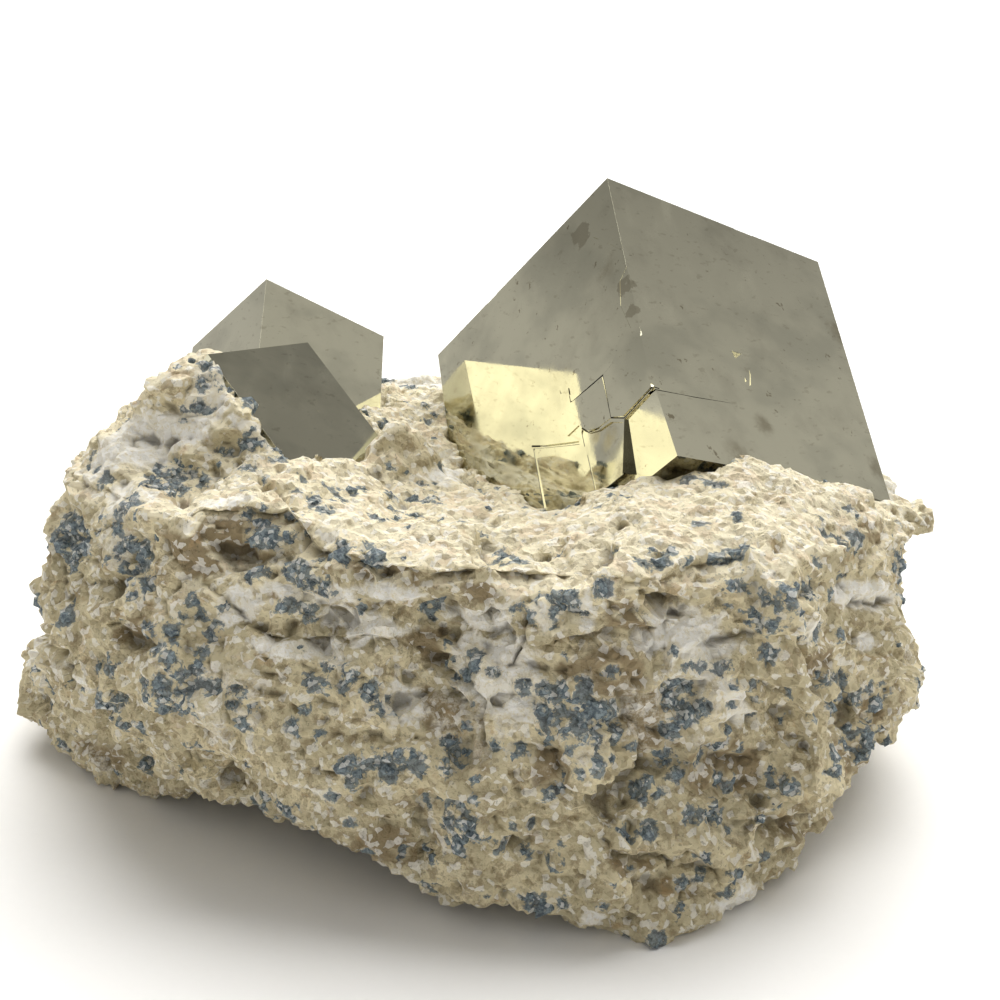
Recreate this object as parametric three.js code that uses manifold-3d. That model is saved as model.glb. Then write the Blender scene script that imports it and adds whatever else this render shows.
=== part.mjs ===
// Pyrite specimen: one large cubic crystal and a grown-together pair of small
// ones, standing in a block of pale marl that has broken to a rough stone.
//
// Millimetres, +Z up. +X is to the right and +Y is to the back, as seen from the
// side that shows the large crystal's centre edge. The lists below are measured
// from a point near the middle of the stone, and the last lines move the origin
// to the middle of the specimen's box, on the surface that it rests on.

import * as THREE from 'three';
import { mergeVertices } from 'three/addons/utils/BufferGeometryUtils.js';
import Module from 'manifold-3d';

const wasm = await Module();
wasm.setup();

// Large crystal: its highest corner, and the three edges that fall from it.
const LARGE_APEX = [10.8, 13.4, 57.1];
const LARGE_TO_LEFT = [-0.5547, 0.5052, -0.6611];
const LARGE_TO_RIGHT = [0.8224, 0.4533, -0.3436];
const LARGE_SIZE = [32.4, 30.0, 31.6];

// Small pair: the cube in front shows one sloping face, the one behind shows two.
const FRONT_APEX = [-27.3, -2.65, 42.3];
const FRONT_TO_RIGHT = [0.5226, 0.848, -0.0886];
const FRONT_TO_FRONT = [0.5958, -0.4376, -0.6734];
const FRONT_SIZE = [14.8, 14.8, 14.8];
const REAR_APEX = [-25.6, 23.5, 45.4];
const REAR_TO_LEFT = [-0.6432, 0.5045, -0.576];
const REAR_TO_RIGHT = [0.7657, 0.4275, -0.4806];
const REAR_SIZE = [15.9, 15.9, 18.5];

// Room between a crystal and the socket that it sits in.
const GAP = 0.3;

// How far a cut starts outside the face that it goes into.
const OVERCUT = 1;

// The part of the front cube's sloping face that lies open, measured from its apex
// to the right and to the front, and how far the stone keeps clear of it.
const OPEN_FACE = [[-0.3, -0.3], [15.1, -0.3], [15.1, 11], [13.6, 12.6], [11, 13.2], [-0.3, 13.4]];
const FACE_CLEARANCE = 16;

// Growth mosaic of the large crystal, as places on its faces measured from the
// apex: a runs to the left edge, b to the right edge and c down the centre edge.
const CORNER_BLOCK = {
  outline: [[0.1, 25.7], [4.9, 25.6], [9.8, 24.9], [10.7, 26.2], [17.5, 25.9], [19.7, 28.5], [20, 31.4], [1.1, 33.2]],
  proud: 0.2,
  depth: 8,
  footFrom: 30,
};
const CORNER_NOTCH = {
  outline: [[-1, 25.7], [4.5, 26.3], [6.6, 33], [6.9, 36], [-1, 36]],
  depth: 1.6,
};
const LEFT_FACE_TERRACES = [
  {
    outline: [[-0.2, 19.9], [2.1, 18.3], [4.1, 20.2], [6.2, 20.5], [5.9, 25.4], [4.4, 26], [-0.2, 25.4]],
    proud: 0.3,
  },
  {
    outline: [[5.2, 21.2], [6.6, 20.4], [11.4, 20.3], [11.5, 18.4], [12.6, 17.4], [12.9, 23], [11.8, 25], [5, 25]],
    proud: 0.15,
  },
  {
    outline: [[10.6, 23.4], [12.2, 21.5], [18.3, 21.5], [18.3, 32.6], [10.4, 32.6]],
    proud: 0.25,
  },
];
const TERRACE_ROOT = 1.5;

// The stone, as rings from its foot to its crown. Each ring gives a distance from
// the stone's middle and a height, every 22.5 degrees from +X towards +Y.
const STONE_MIDDLE = [-1, 4];
const RINGS = {
  foot: {
    radius: [39.2, 39.4, 39.6, 40.6, 38.6, 38.6, 41.6, 44.4, 45, 37, 35.6, 34.2, 36, 40, 38.8, 39.4],
    height: [2.4, 1.2, 0.6, 1.4, 2.6, 3.2, 3.4, 2.4, 1.2, 1.4, 7.8, 6.6, 1.6, -0.4, 2.4, 6],
  },
  flank: {
    radius: [42.4, 42.8, 43.2, 44.6, 42.6, 42.6, 45.6, 48, 48.8, 41, 38, 36.4, 37.6, 41, 40.2, 41.8],
    height: [9, 8, 8, 9, 9, 10, 10, 9, 6.4, 8, 12.6, 12, 10, 9, 9, 12],
  },
  belly: {
    radius: [41.2, 43.2, 45.2, 47, 45, 45, 47, 47.2, 45, 42.4, 40, 37, 36.8, 39.8, 40, 40.5],
    height: [16, 16, 16, 17, 17, 18, 18, 17, 15, 16, 18.4, 18, 17, 17, 17, 18],
  },
  throat: {
    radius: [42.6, 43.2, 43.6, 46.6, 45, 44.6, 44.6, 44.2, 42.4, 42.2, 37.4, 33.2, 33, 37, 38.4, 39],
    height: [21, 21, 21, 21.5, 23, 24, 24, 24.4, 24.6, 24, 26, 25.6, 25.4, 26, 25.6, 24.8],
  },
  rim: {
    radius: [42.6, 42.2, 41.6, 45, 41.6, 41, 40.4, 38.8, 39, 38.2, 34, 30, 30.4, 33.8, 33.8, 35.8],
    height: [25, 25.8, 25, 25.6, 29.2, 29.4, 28.8, 30, 33, 32.2, 33.4, 31, 30.2, 31, 30.8, 29],
  },
  ledge: {
    radius: [31, 29, 29, 31, 27, 26, 26, 26, 27.8, 26, 23, 21, 21, 23, 22, 25],
    height: [27, 28, 28, 27.4, 30.4, 31, 30.6, 33, 41.4, 36.4, 32.8, 30.6, 29.8, 31.2, 32.4, 32.8],
  },
  crown: {
    radius: [13, 13, 13, 13, 13, 13, 13, 13, 14, 13, 13, 13, 12, 12, 13, 13],
    height: [27, 27, 27, 27, 27, 27.4, 29.8, 31.2, 30.6, 30, 29.4, 28.8, 28, 27.8, 29, 28],
  },
};

// The top closes in from the crown to a place that the large crystal covers.
const CROWN_POLE = [9, 11, 25.4];
const CROWN_SHARES = [0.72, 0.46, 0.2];

// Underside: how far in each ring lies, as a share of the foot, and its height,
// which also follows the foot's a little.
const SOLE_FOLLOWS_FOOT = 0.35;
const SOLE = [
  { share: 0.86, height: 1.4 },
  { share: 0.58, height: 1.9 },
  { share: 0.28, height: 1.7 },
  { share: 0.07, height: 1.8 },
];

// Flats that the stone rests on: the underside comes down to them and is cut level.
const RESTS = [
  { at: [12, -27], reach: 9 },
  { at: [-37, 4], reach: 9 },
  { at: [26, 26], reach: 10 },
  { at: [-18, 31], reach: 10 },
];
const REST_DIP = 0.7;
const REST_BODY = { low: 5, high: 9 };
const GROUND = { width: 200, depth: 40 };

// Lumps (push above zero), hollows (below zero) and broken ledges of the stone.
const LUMPS = [
  // the lump at the front left, with the hollow under its lip
  { at: [-20.7, -21.4, 33.8], reach: 4.5, push: 1.6 },
  { at: [-21.3, -23.8, 30.2], reach: 5.5, push: -3.2 },
  { at: [-16.4, -23.6, 28.8], reach: 4.5, push: -2.8 },
  { at: [-35.4, -5.5, 34.8], reach: 6, push: 1.4 },
  { at: [-27, -12, 33.7], reach: 5, push: -1.6 },
  // the bank that covers the small front cube's lower edges
  { at: [-29.2, -3.4, 39.4], reach: 5.5, push: 3.4 },
  { at: [-24.5, -7, 37], reach: 6, push: 3 },
  { at: [-18.5, -10.5, 32.4], reach: 6, push: 1.6 },
  { at: [-10.6, 2, 30], reach: 7, push: 5.2 },
  { at: [-36, 6, 37], reach: 8, push: -1.4 },
  // the trough along the large crystal and the saddle behind it
  { at: [-4.5, 14, 27.8], reach: 7, push: -1.4 },
  { at: [0, 7, 27.6], reach: 8, push: -2.6 },
  { at: [4.5, 0, 27.8], reach: 6, push: -1.8 },
  { at: [-15, 17, 30.3], reach: 6, push: 1.4 },
  // the lip of the top ledge, the groove under it and the knob that ends it
  { at: [-12.1, -26.5, 29.8], reach: 4, push: 1.5 },
  { at: [-6.4, -27.9, 29.2], reach: 4, push: 1.5 },
  { at: [-1.6, -27.5, 28.8], reach: 4, push: 1.3 },
  { at: [-12.1, -26.9, 26.9], reach: 4, push: -2.4 },
  { at: [-6.4, -27.9, 26.4], reach: 4, push: -2.6 },
  { at: [-1.6, -27.6, 26], reach: 4, push: -2 },
  { at: [6.6, -31.8, 28.6], reach: 5, push: 2.2 },
  // the pits below the groove
  { at: [-5.7, -27.6, 21.4], reach: 5, push: -2.4 },
  { at: [-2.8, -29.4, 18.3], reach: 4, push: -2 },
  { at: [-13.9, -26.5, 22.5], reach: 4.5, push: -1.8 },
  // the ridge that parts the front from the right side
  { at: [22.1, -27.4, 27.6], reach: 5, push: 2 },
  { at: [24, -26.7, 24.5], reach: 5, push: 2.4 },
  { at: [25, -26.5, 19.8], reach: 5.5, push: 2.6 },
  { at: [26.4, -25.8, 14], reach: 5.5, push: 2.4 },
  { at: [27.4, -24.9, 8.9], reach: 5, push: 1.6 },
  { at: [31.4, -17, 22.6], reach: 8, push: -2.8 },
  { at: [31.4, -19, 14], reach: 8, push: -2.8 },
  { at: [19.5, -28.5, 18], reach: 7, push: -1.8 },
  // the lower front
  { at: [14.2, -31.4, 11.9], reach: 9, push: -2.2 },
  { at: [7.8, -33.1, 18], reach: 6, push: 1.4 },
  { at: [-12, -31, 8], reach: 8, push: 1.2 },
  { at: [-27.1, -26.1, 21.5], reach: 6, push: 1.6 },
  { at: [-31.7, -19.2, 27.8], reach: 6, push: -2 },
  { at: [-36, -18.2, 20], reach: 6, push: 1.4 },
  { at: [-43, 3, 14], reach: 6, push: -1.2 },
  // the right side and the back
  { at: [41, 9, 17], reach: 5, push: -1 },
  { at: [40.5, 13.8, 25.3], reach: 5, push: 1 },
  { at: [18, 46, 16], reach: 9, push: 1.6 },
  { at: [-8, 48, 20], reach: 9, push: -1.8 },
  { at: [-34, 38, 12], reach: 10, push: 1.8 },
  { at: [-40, 24, 22], reach: 9, push: -1.6 },
  { at: [36, 32, 14], reach: 8, push: -1.4 },
];
const LEDGES = { heights: [12.5, 23.4, 28.8], push: 0.5, thickness: 1.6, wander: 1.6, length: 12, base: 0.5 };

// Grain of the broken surface: size of the bumps and how far they stand out, from
// hollow to ridge. It is flattened a little, as the stone is layered.
const GRAIN = [
  { size: 12, push: 1.8 },
  { size: 5.5, push: 1.05 },
];
const GRAIN_MIDDLE = 0.35;
const GRAIN_START = [3.7, 9.1, 5.3];
const LAYERING = 1.25;
const SCATTER = { steps: [127.1, 311.7, 74.7], spread: 43758.5453 };

// Flat chips where the stone has broken: how many, how deep and how wide.
// Those on the top, around the crystals, and on the underside are shallower.
const CHIPS = { count: 130, shallow: 0.2, deep: 0.9, narrow: 3, wide: 7, tilt: 0.7, onLevel: 0.5 };
const LEVEL_FACING = 0.6;
const STONE_REACH = 40;

// How finely the stone is faceted: more so at the front than at the back.
const AROUND = 104;
const FINER_AT_FRONT = 0.28;
const STEPS_BETWEEN_RINGS = 4;

const FULL_TURN = Math.PI * 2;

// Points closer together than this are one point.
const WELD = 1e-4;

// Finishes: dull pale marl, and the mirror faces of the large and the small crystals.
const MARL = { color: 0xb5a67f, roughness: 0.9, metalness: 0 };
const LARGE_PYRITE = { color: 0x9c9a84, roughness: 0.2, metalness: 1 };
const SMALL_PYRITE = { color: 0x8f8d7a, roughness: 0.22, metalness: 1 };

/** A smooth curve value between p1 and p2. */
function curve(p0, p1, p2, p3, t) {
  const slope = 0.5 * (p2 - p0);
  const nextSlope = 0.5 * (p3 - p1);
  const rise = p2 - p1;
  return p1 + t * (slope + t * (3 * rise - 2 * slope - nextSlope + t * (slope + nextSlope - 2 * rise)));
}

/** The value of a closed list at a share of the full turn. */
function aroundRing(list, share) {
  const place = share * list.length;
  const spoke = Math.floor(place);
  const pick = (k) => list[(spoke + k + list.length) % list.length];
  return curve(pick(-1), pick(0), pick(1), pick(2), place - spoke);
}

/** A repeatable value from 0 to 1 for each whole-number place. */
function scatter(i, j, k) {
  const [a, b, c] = SCATTER.steps;
  const s = Math.sin(i * a + j * b + k * c) * SCATTER.spread;
  return s - Math.floor(s);
}

/** Smooth noise from -1 to 1 at a point. */
function noise(x, y, z) {
  const cell = [x, y, z].map(Math.floor);
  const t = [x, y, z].map((v, n) => {
    const f = v - cell[n];
    return f * f * (3 - 2 * f);
  });
  let sum = 0;
  for (let corner = 0; corner < 8; corner += 1) {
    const bit = [corner & 1, (corner >> 1) & 1, (corner >> 2) & 1];
    const weight = bit.reduce((w, b, n) => w * (b ? t[n] : 1 - t[n]), 1);
    sum += weight * scatter(cell[0] + bit[0], cell[1] + bit[1], cell[2] + bit[2]);
  }
  return 2 * sum - 1;
}

/** A round swell that is 1 at its centre and 0 at its reach. */
function swell(distance, reach) {
  const t = Math.min(distance / reach, 1);
  return (1 - t * t) ** 2;
}

/** How far the grain and the ledges push a point of the stone out along its normal. */
function relief(p) {
  const [startX, startY, startZ] = GRAIN_START;
  let push = 0;
  for (const { size, push: most } of GRAIN) {
    const value = noise(p.x / size + startX, p.y / size + startY, (p.z * LAYERING) / size + startZ);
    push += most * (GRAIN_MIDDLE - Math.abs(value));
  }
  if (p.y < 0) {
    for (const height of LEDGES.heights) {
      const wave = height + LEDGES.wander * noise(p.x / LEDGES.length, p.y / LEDGES.length, height);
      const strength = LEDGES.base + noise(p.x / LEDGES.length, height, p.y / LEDGES.length);
      push += LEDGES.push * strength * swell(Math.abs(p.z - wave), LEDGES.thickness);
    }
  }
  return push;
}

/** How far the lumps and hollows push a point of the stone out along its normal. */
function lumpiness(p) {
  const share = (lump) => swell(p.distanceTo(new THREE.Vector3(...lump.at)), lump.reach);
  return LUMPS.reduce((push, lump) => push + lump.push * share(lump), 0);
}

/** The stone's smooth form as a grid of rows from the sole's inside to the crown's. */
function stoneRows() {
  const keys = [];
  for (const sole of [...SOLE].reverse()) {
    keys.push({
      radius: RINGS.foot.radius.map((r) => r * sole.share),
      height: RINGS.foot.height.map((h) => sole.height + SOLE_FOLLOWS_FOOT * h),
    });
  }
  keys.push(...Object.values(RINGS));
  const rows = [];
  const last = keys.length - 1;
  for (let step = 0; step <= last * STEPS_BETWEEN_RINGS; step += 1) {
    const ring = Math.min(Math.floor(step / STEPS_BETWEEN_RINGS), last - 1);
    const t = step / STEPS_BETWEEN_RINGS - ring;
    const pick = (k) => keys[Math.min(Math.max(ring + k, 0), last)];
    const row = [];
    for (let n = 0; n < AROUND; n += 1) {
      const evenly = n / AROUND;
      const share = evenly - (FINER_AT_FRONT * Math.cos(evenly * FULL_TURN)) / FULL_TURN;
      const along = (name) => curve(...[-1, 0, 1, 2].map((k) => aroundRing(pick(k)[name], share)), t);
      const angle = share * FULL_TURN;
      const radius = along('radius');
      row.push(new THREE.Vector3(
        STONE_MIDDLE[0] + radius * Math.cos(angle),
        STONE_MIDDLE[1] + radius * Math.sin(angle),
        along('height'),
      ));
    }
    rows.push(row);
  }
  const pole = new THREE.Vector3(...CROWN_POLE);
  const crown = rows.at(-1);
  return rows.concat(CROWN_SHARES.map((share) => crown.map((p) => pole.clone().lerp(p, share))));
}

/**
 * Breaks flat chips off the stone, each on a plane of its own. Points lie closer
 * together near the middle, so fewer of them are taken there.
 */
function chip(points, normals) {
  const steady = (n, k) => scatter(n + 1, k, 5);
  const reachOf = (n) => THREE.MathUtils.lerp(CHIPS.narrow, CHIPS.wide, steady(n, 2));
  for (let n = 0; n < CHIPS.count; n += 1) {
    const chosen = Math.floor(steady(n, 1) * points.length);
    const centre = points[chosen].clone();
    const outward = Math.hypot(centre.x - STONE_MIDDLE[0], centre.y - STONE_MIDDLE[1]);
    if (outward < STONE_REACH * steady(n, 7)) continue;
    const lean = new THREE.Vector3(steady(n, 3), steady(n, 4), steady(n, 5)).subScalar(0.5);
    const facing = normals[chosen].clone().addScaledVector(lean, CHIPS.tilt).normalize();
    const share = Math.abs(facing.z) > LEVEL_FACING ? CHIPS.onLevel : 1;
    const depth = share * THREE.MathUtils.lerp(CHIPS.shallow, CHIPS.deep, steady(n, 6));
    for (const p of points) {
      const offset = new THREE.Vector3().subVectors(p, centre);
      const above = offset.dot(facing) + depth;
      if (above > 0 && offset.length() < reachOf(n)) p.addScaledVector(facing, -above);
    }
  }
}

/** Lowers the points of the underside to just below the flats that the stone rests on. */
function settle(p) {
  const { smoothstep } = THREE.MathUtils;
  const share = 1 - smoothstep(p.z, REST_BODY.low, REST_BODY.high);
  for (const rest of RESTS) {
    const away = Math.hypot(p.x - rest.at[0], p.y - rest.at[1]);
    const pull = share * (1 - smoothstep(away, rest.reach / 2, rest.reach));
    p.z -= pull * (p.z + REST_DIP);
  }
}

/** The rough stone as a closed geometry, before anything is cut from it. */
function stoneGeometry() {
  const rows = stoneRows();
  const count = rows.length;
  const points = [];
  const normals = [];
  for (let r = 0; r < count; r += 1) {
    for (let n = 0; n < AROUND; n += 1) {
      const along = new THREE.Vector3().subVectors(rows[r][(n + 1) % AROUND], rows[r][(n + AROUND - 1) % AROUND]);
      const up = new THREE.Vector3().subVectors(rows[Math.min(r + 1, count - 1)][n], rows[Math.max(r - 1, 0)][n]);
      const normal = along.cross(up).normalize();
      normals.push(normal);
      points.push(rows[r][n].clone().addScaledVector(normal, relief(rows[r][n])));
    }
  }
  chip(points, normals);
  points.forEach((p, n) => p.addScaledVector(normals[n], lumpiness(p)));
  points.forEach(settle);
  const sole = points.length;
  points.push(new THREE.Vector3(...STONE_MIDDLE, SOLE.at(-1).height));
  const crown = points.length;
  points.push(new THREE.Vector3(...CROWN_POLE));

  const index = [];
  for (let n = 0; n < AROUND; n += 1) {
    const next = (n + 1) % AROUND;
    index.push(sole, next, n);
    for (let r = 0; r + 1 < count; r += 1) {
      const low = r * AROUND;
      const high = low + AROUND;
      const [p, q, s, t] = [low + n, low + next, high + next, high + n];
      const rising = points[p].distanceTo(points[s]) < points[q].distanceTo(points[t]);
      index.push(...(rising ? [p, q, s, p, s, t] : [p, q, t, q, s, t]));
    }
    const top = (count - 1) * AROUND;
    index.push(crown, top + n, top + next);
  }
  const geometry = new THREE.BufferGeometry();
  geometry.setAttribute('position', new THREE.Float32BufferAttribute(points.flatMap((p) => p.toArray()), 3));
  geometry.setIndex(index);
  return geometry;
}

/** Turns a closed geometry into a solid that can be joined and cut. */
function solid(geometry) {
  const bare = geometry.clone();
  bare.deleteAttribute('normal');
  bare.deleteAttribute('uv');
  const merged = mergeVertices(bare, WELD);
  return new wasm.Manifold(new wasm.Mesh({
    numProp: 3,
    vertProperties: new Float32Array(merged.attributes.position.array),
    triVerts: new Uint32Array(merged.index.array),
  }));
}

/** Turns a solid back into a geometry. */
function geometryOf(body) {
  const mesh = body.getMesh();
  const geometry = new THREE.BufferGeometry();
  geometry.setAttribute('position', new THREE.Float32BufferAttribute(mesh.vertProperties, 3));
  geometry.setIndex(new THREE.Uint32BufferAttribute(mesh.triVerts, 1));
  geometry.computeVertexNormals();
  return geometry;
}

/** The place of a crystal: its three edges from the apex as columns. */
function placeOf(apex, first, second) {
  const a = new THREE.Vector3(...first).normalize();
  const c = new THREE.Vector3().crossVectors(a, new THREE.Vector3(...second)).normalize();
  const b = new THREE.Vector3().crossVectors(c, a);
  return new THREE.Matrix4().makeBasis(a, b, c).setPosition(...apex);
}

/** A crystal's block, grown outwards by a margin on every side. */
function block(place, size, margin) {
  const geometry = new THREE.BoxGeometry(...size.map((edge) => edge + 2 * margin));
  geometry.translate(...size.map((edge) => edge / 2));
  return solid(geometry.applyMatrix4(place));
}

/** A prism on an outline, which turn lays on one of the crystal's faces. */
function prism(outline, depth, turn, place) {
  const shape = new THREE.Shape(outline.map((corner) => new THREE.Vector2(...corner)));
  const geometry = new THREE.ExtrudeGeometry(shape, { depth, bevelEnabled: false });
  return solid(geometry.applyMatrix4(turn).applyMatrix4(place));
}

/** Lays a prism drawn in b and c on the right face, standing proud of it. */
function onRightFace(proud) {
  return new THREE.Matrix4().set(0, 0, 1, -proud, 1, 0, 0, 0, 0, 1, 0, 0, 0, 0, 0, 1);
}

/** Lays a prism drawn in c and a on the left face, standing proud of it. */
function onLeftFace(proud) {
  return new THREE.Matrix4().set(0, 1, 0, 0, 0, 0, 1, -proud, 1, 0, 0, 0, 0, 0, 0, 1);
}

/** The large crystal: a cube with a corner block and terraces grown out of step. */
function largeCrystal(margin) {
  const place = placeOf(LARGE_APEX, LARGE_TO_LEFT, LARGE_TO_RIGHT);
  const swapped = (outline) => outline.map(([a, c]) => [c, a]);
  let body = block(place, LARGE_SIZE, margin);
  if (margin === 0) {
    const notch = prism(swapped(CORNER_NOTCH.outline), CORNER_NOTCH.depth + OVERCUT, onLeftFace(OVERCUT), place);
    body = body.subtract(notch);
  }
  for (const terrace of LEFT_FACE_TERRACES) {
    const proud = terrace.proud + margin;
    body = body.add(prism(swapped(terrace.outline), proud + TERRACE_ROOT, onLeftFace(proud), place));
  }
  const corner = CORNER_BLOCK.outline.map(([b, c]) => [b, c > CORNER_BLOCK.footFrom ? c + margin : c]);
  const proud = CORNER_BLOCK.proud + margin;
  const depth = proud + CORNER_BLOCK.depth + margin;
  return body.add(prism(corner, depth, onRightFace(proud), place));
}

/** The small crystals, which have grown into each other and are one body. */
function smallPair(margin) {
  const front = block(placeOf(FRONT_APEX, FRONT_TO_RIGHT, FRONT_TO_FRONT), FRONT_SIZE, margin);
  const rear = block(placeOf(REAR_APEX, REAR_TO_LEFT, REAR_TO_RIGHT), REAR_SIZE, margin);
  return front.add(rear);
}

/** The space in front of the small front cube's open face, which holds no stone. */
function openFace() {
  const outwards = new THREE.Matrix4().makeTranslation(0, 0, OVERCUT - FACE_CLEARANCE);
  return prism(OPEN_FACE, FACE_CLEARANCE, outwards, placeOf(FRONT_APEX, FRONT_TO_RIGHT, FRONT_TO_FRONT));
}

/** The stone with a level sole and a socket for each crystal. */
function matrixStone() {
  const below = new THREE.BoxGeometry(GROUND.width, GROUND.width, GROUND.depth).translate(0, 0, -GROUND.depth / 2);
  return solid(stoneGeometry())
    .subtract(solid(below))
    .subtract(largeCrystal(GAP))
    .subtract(smallPair(GAP))
    .subtract(openFace());
}

/** A named mesh of one physical piece. */
function piece(name, body, finish) {
  const material = new THREE.MeshStandardMaterial({ ...finish, flatShading: true });
  const mesh = new THREE.Mesh(geometryOf(body), material);
  mesh.name = name;
  return mesh;
}

const specimen = new THREE.Group();
specimen.add(piece('matrix_stone', matrixStone(), MARL));
specimen.add(piece('large_crystal', largeCrystal(0), LARGE_PYRITE));
specimen.add(piece('small_crystals', smallPair(0), SMALL_PYRITE));

const box = new THREE.Box3().setFromObject(specimen);
const middle = box.getCenter(new THREE.Vector3());
specimen.position.set(-middle.x, -middle.y, -box.min.z);

export default specimen;
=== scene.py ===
"""The look of a pyrite specimen: crystals with mirror faces in a rough block of marl.

Sizes are in millimetres until a mesh is finished, and in metres after that. Places
on the stone are written from the same point as in the part's source, which the
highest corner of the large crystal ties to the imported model.
"""

import logging
import math
from collections.abc import Iterable
from dataclasses import dataclass
from enum import Enum
from typing import Optional, Union

import bmesh
import bpy
import numpy as np
from mathutils import Matrix, Vector
from mathutils.bvhtree import BVHTree
from mathutils.kdtree import KDTree


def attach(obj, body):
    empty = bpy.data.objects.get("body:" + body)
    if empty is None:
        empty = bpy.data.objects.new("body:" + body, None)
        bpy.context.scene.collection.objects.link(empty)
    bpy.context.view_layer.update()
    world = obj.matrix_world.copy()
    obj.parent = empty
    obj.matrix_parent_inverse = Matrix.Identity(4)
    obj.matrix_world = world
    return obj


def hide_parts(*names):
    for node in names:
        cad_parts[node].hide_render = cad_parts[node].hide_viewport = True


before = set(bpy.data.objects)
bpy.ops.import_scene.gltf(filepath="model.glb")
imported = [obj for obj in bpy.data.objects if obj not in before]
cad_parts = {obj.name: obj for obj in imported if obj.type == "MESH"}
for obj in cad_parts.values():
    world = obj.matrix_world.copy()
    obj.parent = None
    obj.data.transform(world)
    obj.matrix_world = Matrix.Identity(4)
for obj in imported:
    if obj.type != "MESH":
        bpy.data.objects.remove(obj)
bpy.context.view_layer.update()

LOG = logging.getLogger("pyrite_specimen")
MM = 0.001

STONE_NODE = "matrix_stone"
LARGE_NODE = "large_crystal"
SMALL_NODE = "small_crystals"

# The large crystal's highest corner and the first two of the edges that fall from it.
LARGE_APEX = (10.8, 13.4, 57.1)
LARGE_TO_LEFT = (-0.5547, 0.5052, -0.6611)
LARGE_TO_RIGHT = (0.8224, 0.4533, -0.3436)
LARGE_SIZE = (32.4, 30.0, 31.6)

# The camera, seen from that corner.
CAMERA_FROM_APEX = (-10.8, -152.9, 12.8)
CAMERA_PITCH = 17.0
CAMERA_LENS = 53.55
CAMERA_SENSOR = 36.0
PHOTO_WIDTH = 1000.0

# How bright the white paper behind the specimen looks, and how near the camera sees.
PAPER_GLOW = 1.1
NEAREST_SEEN = 0.01

# Large odd numbers, and shifts, that scatter whole numbers evenly.
SEED_FACTOR = 3266489917
AXIS_FACTORS = (374761393, 668265263, 2246822519)
MIXING = ((15, 2654435761), (13, 1274126177))
LOW_BITS = 0xFFFFFF

Triple = tuple[float, float, float]
Pair = tuple[float, float]
Tone = tuple[float, float, float, float]
Socket = bpy.types.NodeSocket
Number = Union[Socket, float]
Colour = Union[Socket, Tone]


class Combine(Enum):
    """The ways in which one solid is put together with another."""

    JOIN = "UNION"
    CUT = "DIFFERENCE"


class Sum(Enum):
    """The ways in which two values are put together."""

    ADD = "ADD"
    SUBTRACT = "SUBTRACT"
    MULTIPLY = "MULTIPLY"
    MAXIMUM = "MAXIMUM"


class Measure(Enum):
    """The ways in which two vectors are compared."""

    DISTANCE = "DISTANCE"
    COSINE = "DOT_PRODUCT"


class Slot(Enum):
    """The record's material slots."""

    MARL = "marl"
    PYRITE = "pyrite"


class Face(Enum):
    """The faces of a crystal that carry growth marks, by the edges that span them."""

    LEFT = "ac"
    RIGHT = "bc"
    BACK = "ab"


class Seed(Enum):
    """The seeds of the stone's random patterns."""

    GRIT = 5
    GRAINS = 17
    BEDS = 51
    CROWD = 61
    CLUMPS = 65
    SMALL_CLUMPS = 66
    HOLES = 101
    SPOTS = 111
    SMALL_SPOTS = 121
    CARVING = 131
    CHALK = 141
    SMALL_CHALK = 142
    BROWN = 151
    SMALL_BROWN = 152


class Form(Enum):
    """The forms that run along a line on the stone."""

    GROOVE = "groove"
    RIDGE = "ridge"
    LIP = "lip"


def row_place(point: Triple) -> Vector:
    """Returns where a place of the part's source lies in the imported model, in millimetres."""
    return Vector(point) + APEX_SHIFT


def apex_shift() -> Vector:
    """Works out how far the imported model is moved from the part's source.

    Returns:
        The step in millimetres.
    """
    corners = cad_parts[LARGE_NODE].data.vertices
    highest = max((v.co for v in corners), key=lambda co: co.z)
    return highest / MM - Vector(LARGE_APEX)


APEX_SHIFT = apex_shift()


def hashed(cells: np.ndarray, seed: int) -> np.ndarray:
    """A repeatable value from 0 to 1 for each whole-number cell.

    Args:
        cells: Whole-number places, one in each row.
        seed: Chooses one of many patterns.

    Returns:
        One value for each row.
    """
    mixed = np.full(len(cells), (seed * SEED_FACTOR) % 2**32, dtype=np.uint32)
    for axis, factor in enumerate(AXIS_FACTORS):
        mixed = mixed + cells[:, axis].astype(np.uint32) * np.uint32(factor)
    for shift, factor in MIXING:
        mixed = (mixed ^ (mixed >> np.uint32(shift))) * np.uint32(factor)
    mixed = mixed ^ (mixed >> np.uint32(16))
    return (mixed & np.uint32(LOW_BITS)).astype(np.float64) / LOW_BITS


def smooth_noise(points: np.ndarray, size: float, seed: int) -> np.ndarray:
    """Smooth noise from -1 to 1.

    Args:
        points: Places in millimetres, one in each row.
        size: The width of a bump in millimetres.
        seed: Chooses one of many patterns.

    Returns:
        One value for each point.
    """
    scaled = points / size
    cell = np.floor(scaled).astype(np.int64)
    t = scaled - cell
    t = t * t * (3 - 2 * t)
    total = np.zeros(len(points))
    for corner in np.ndindex(2, 2, 2):
        step = np.array(corner)
        weight = np.prod(np.where(step == 1, t, 1 - t), axis=1)
        total += weight * hashed(cell + step, seed)
    return 2 * total - 1


def rough_noise(points: np.ndarray, size: float, seed: int, octaves: int) -> np.ndarray:
    """Noise in which each octave has bumps of half the size and half the height.

    Args:
        points: Places in millimetres, one in each row.
        size: The width of the widest bumps in millimetres.
        seed: Chooses one of many patterns.
        octaves: How many sizes of bump there are.

    Returns:
        One value for each point.
    """
    total = np.zeros(len(points))
    for octave in range(octaves):
        share = 0.5**octave
        total += share * smooth_noise(points, size * share, seed + octave)
    return total


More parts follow.
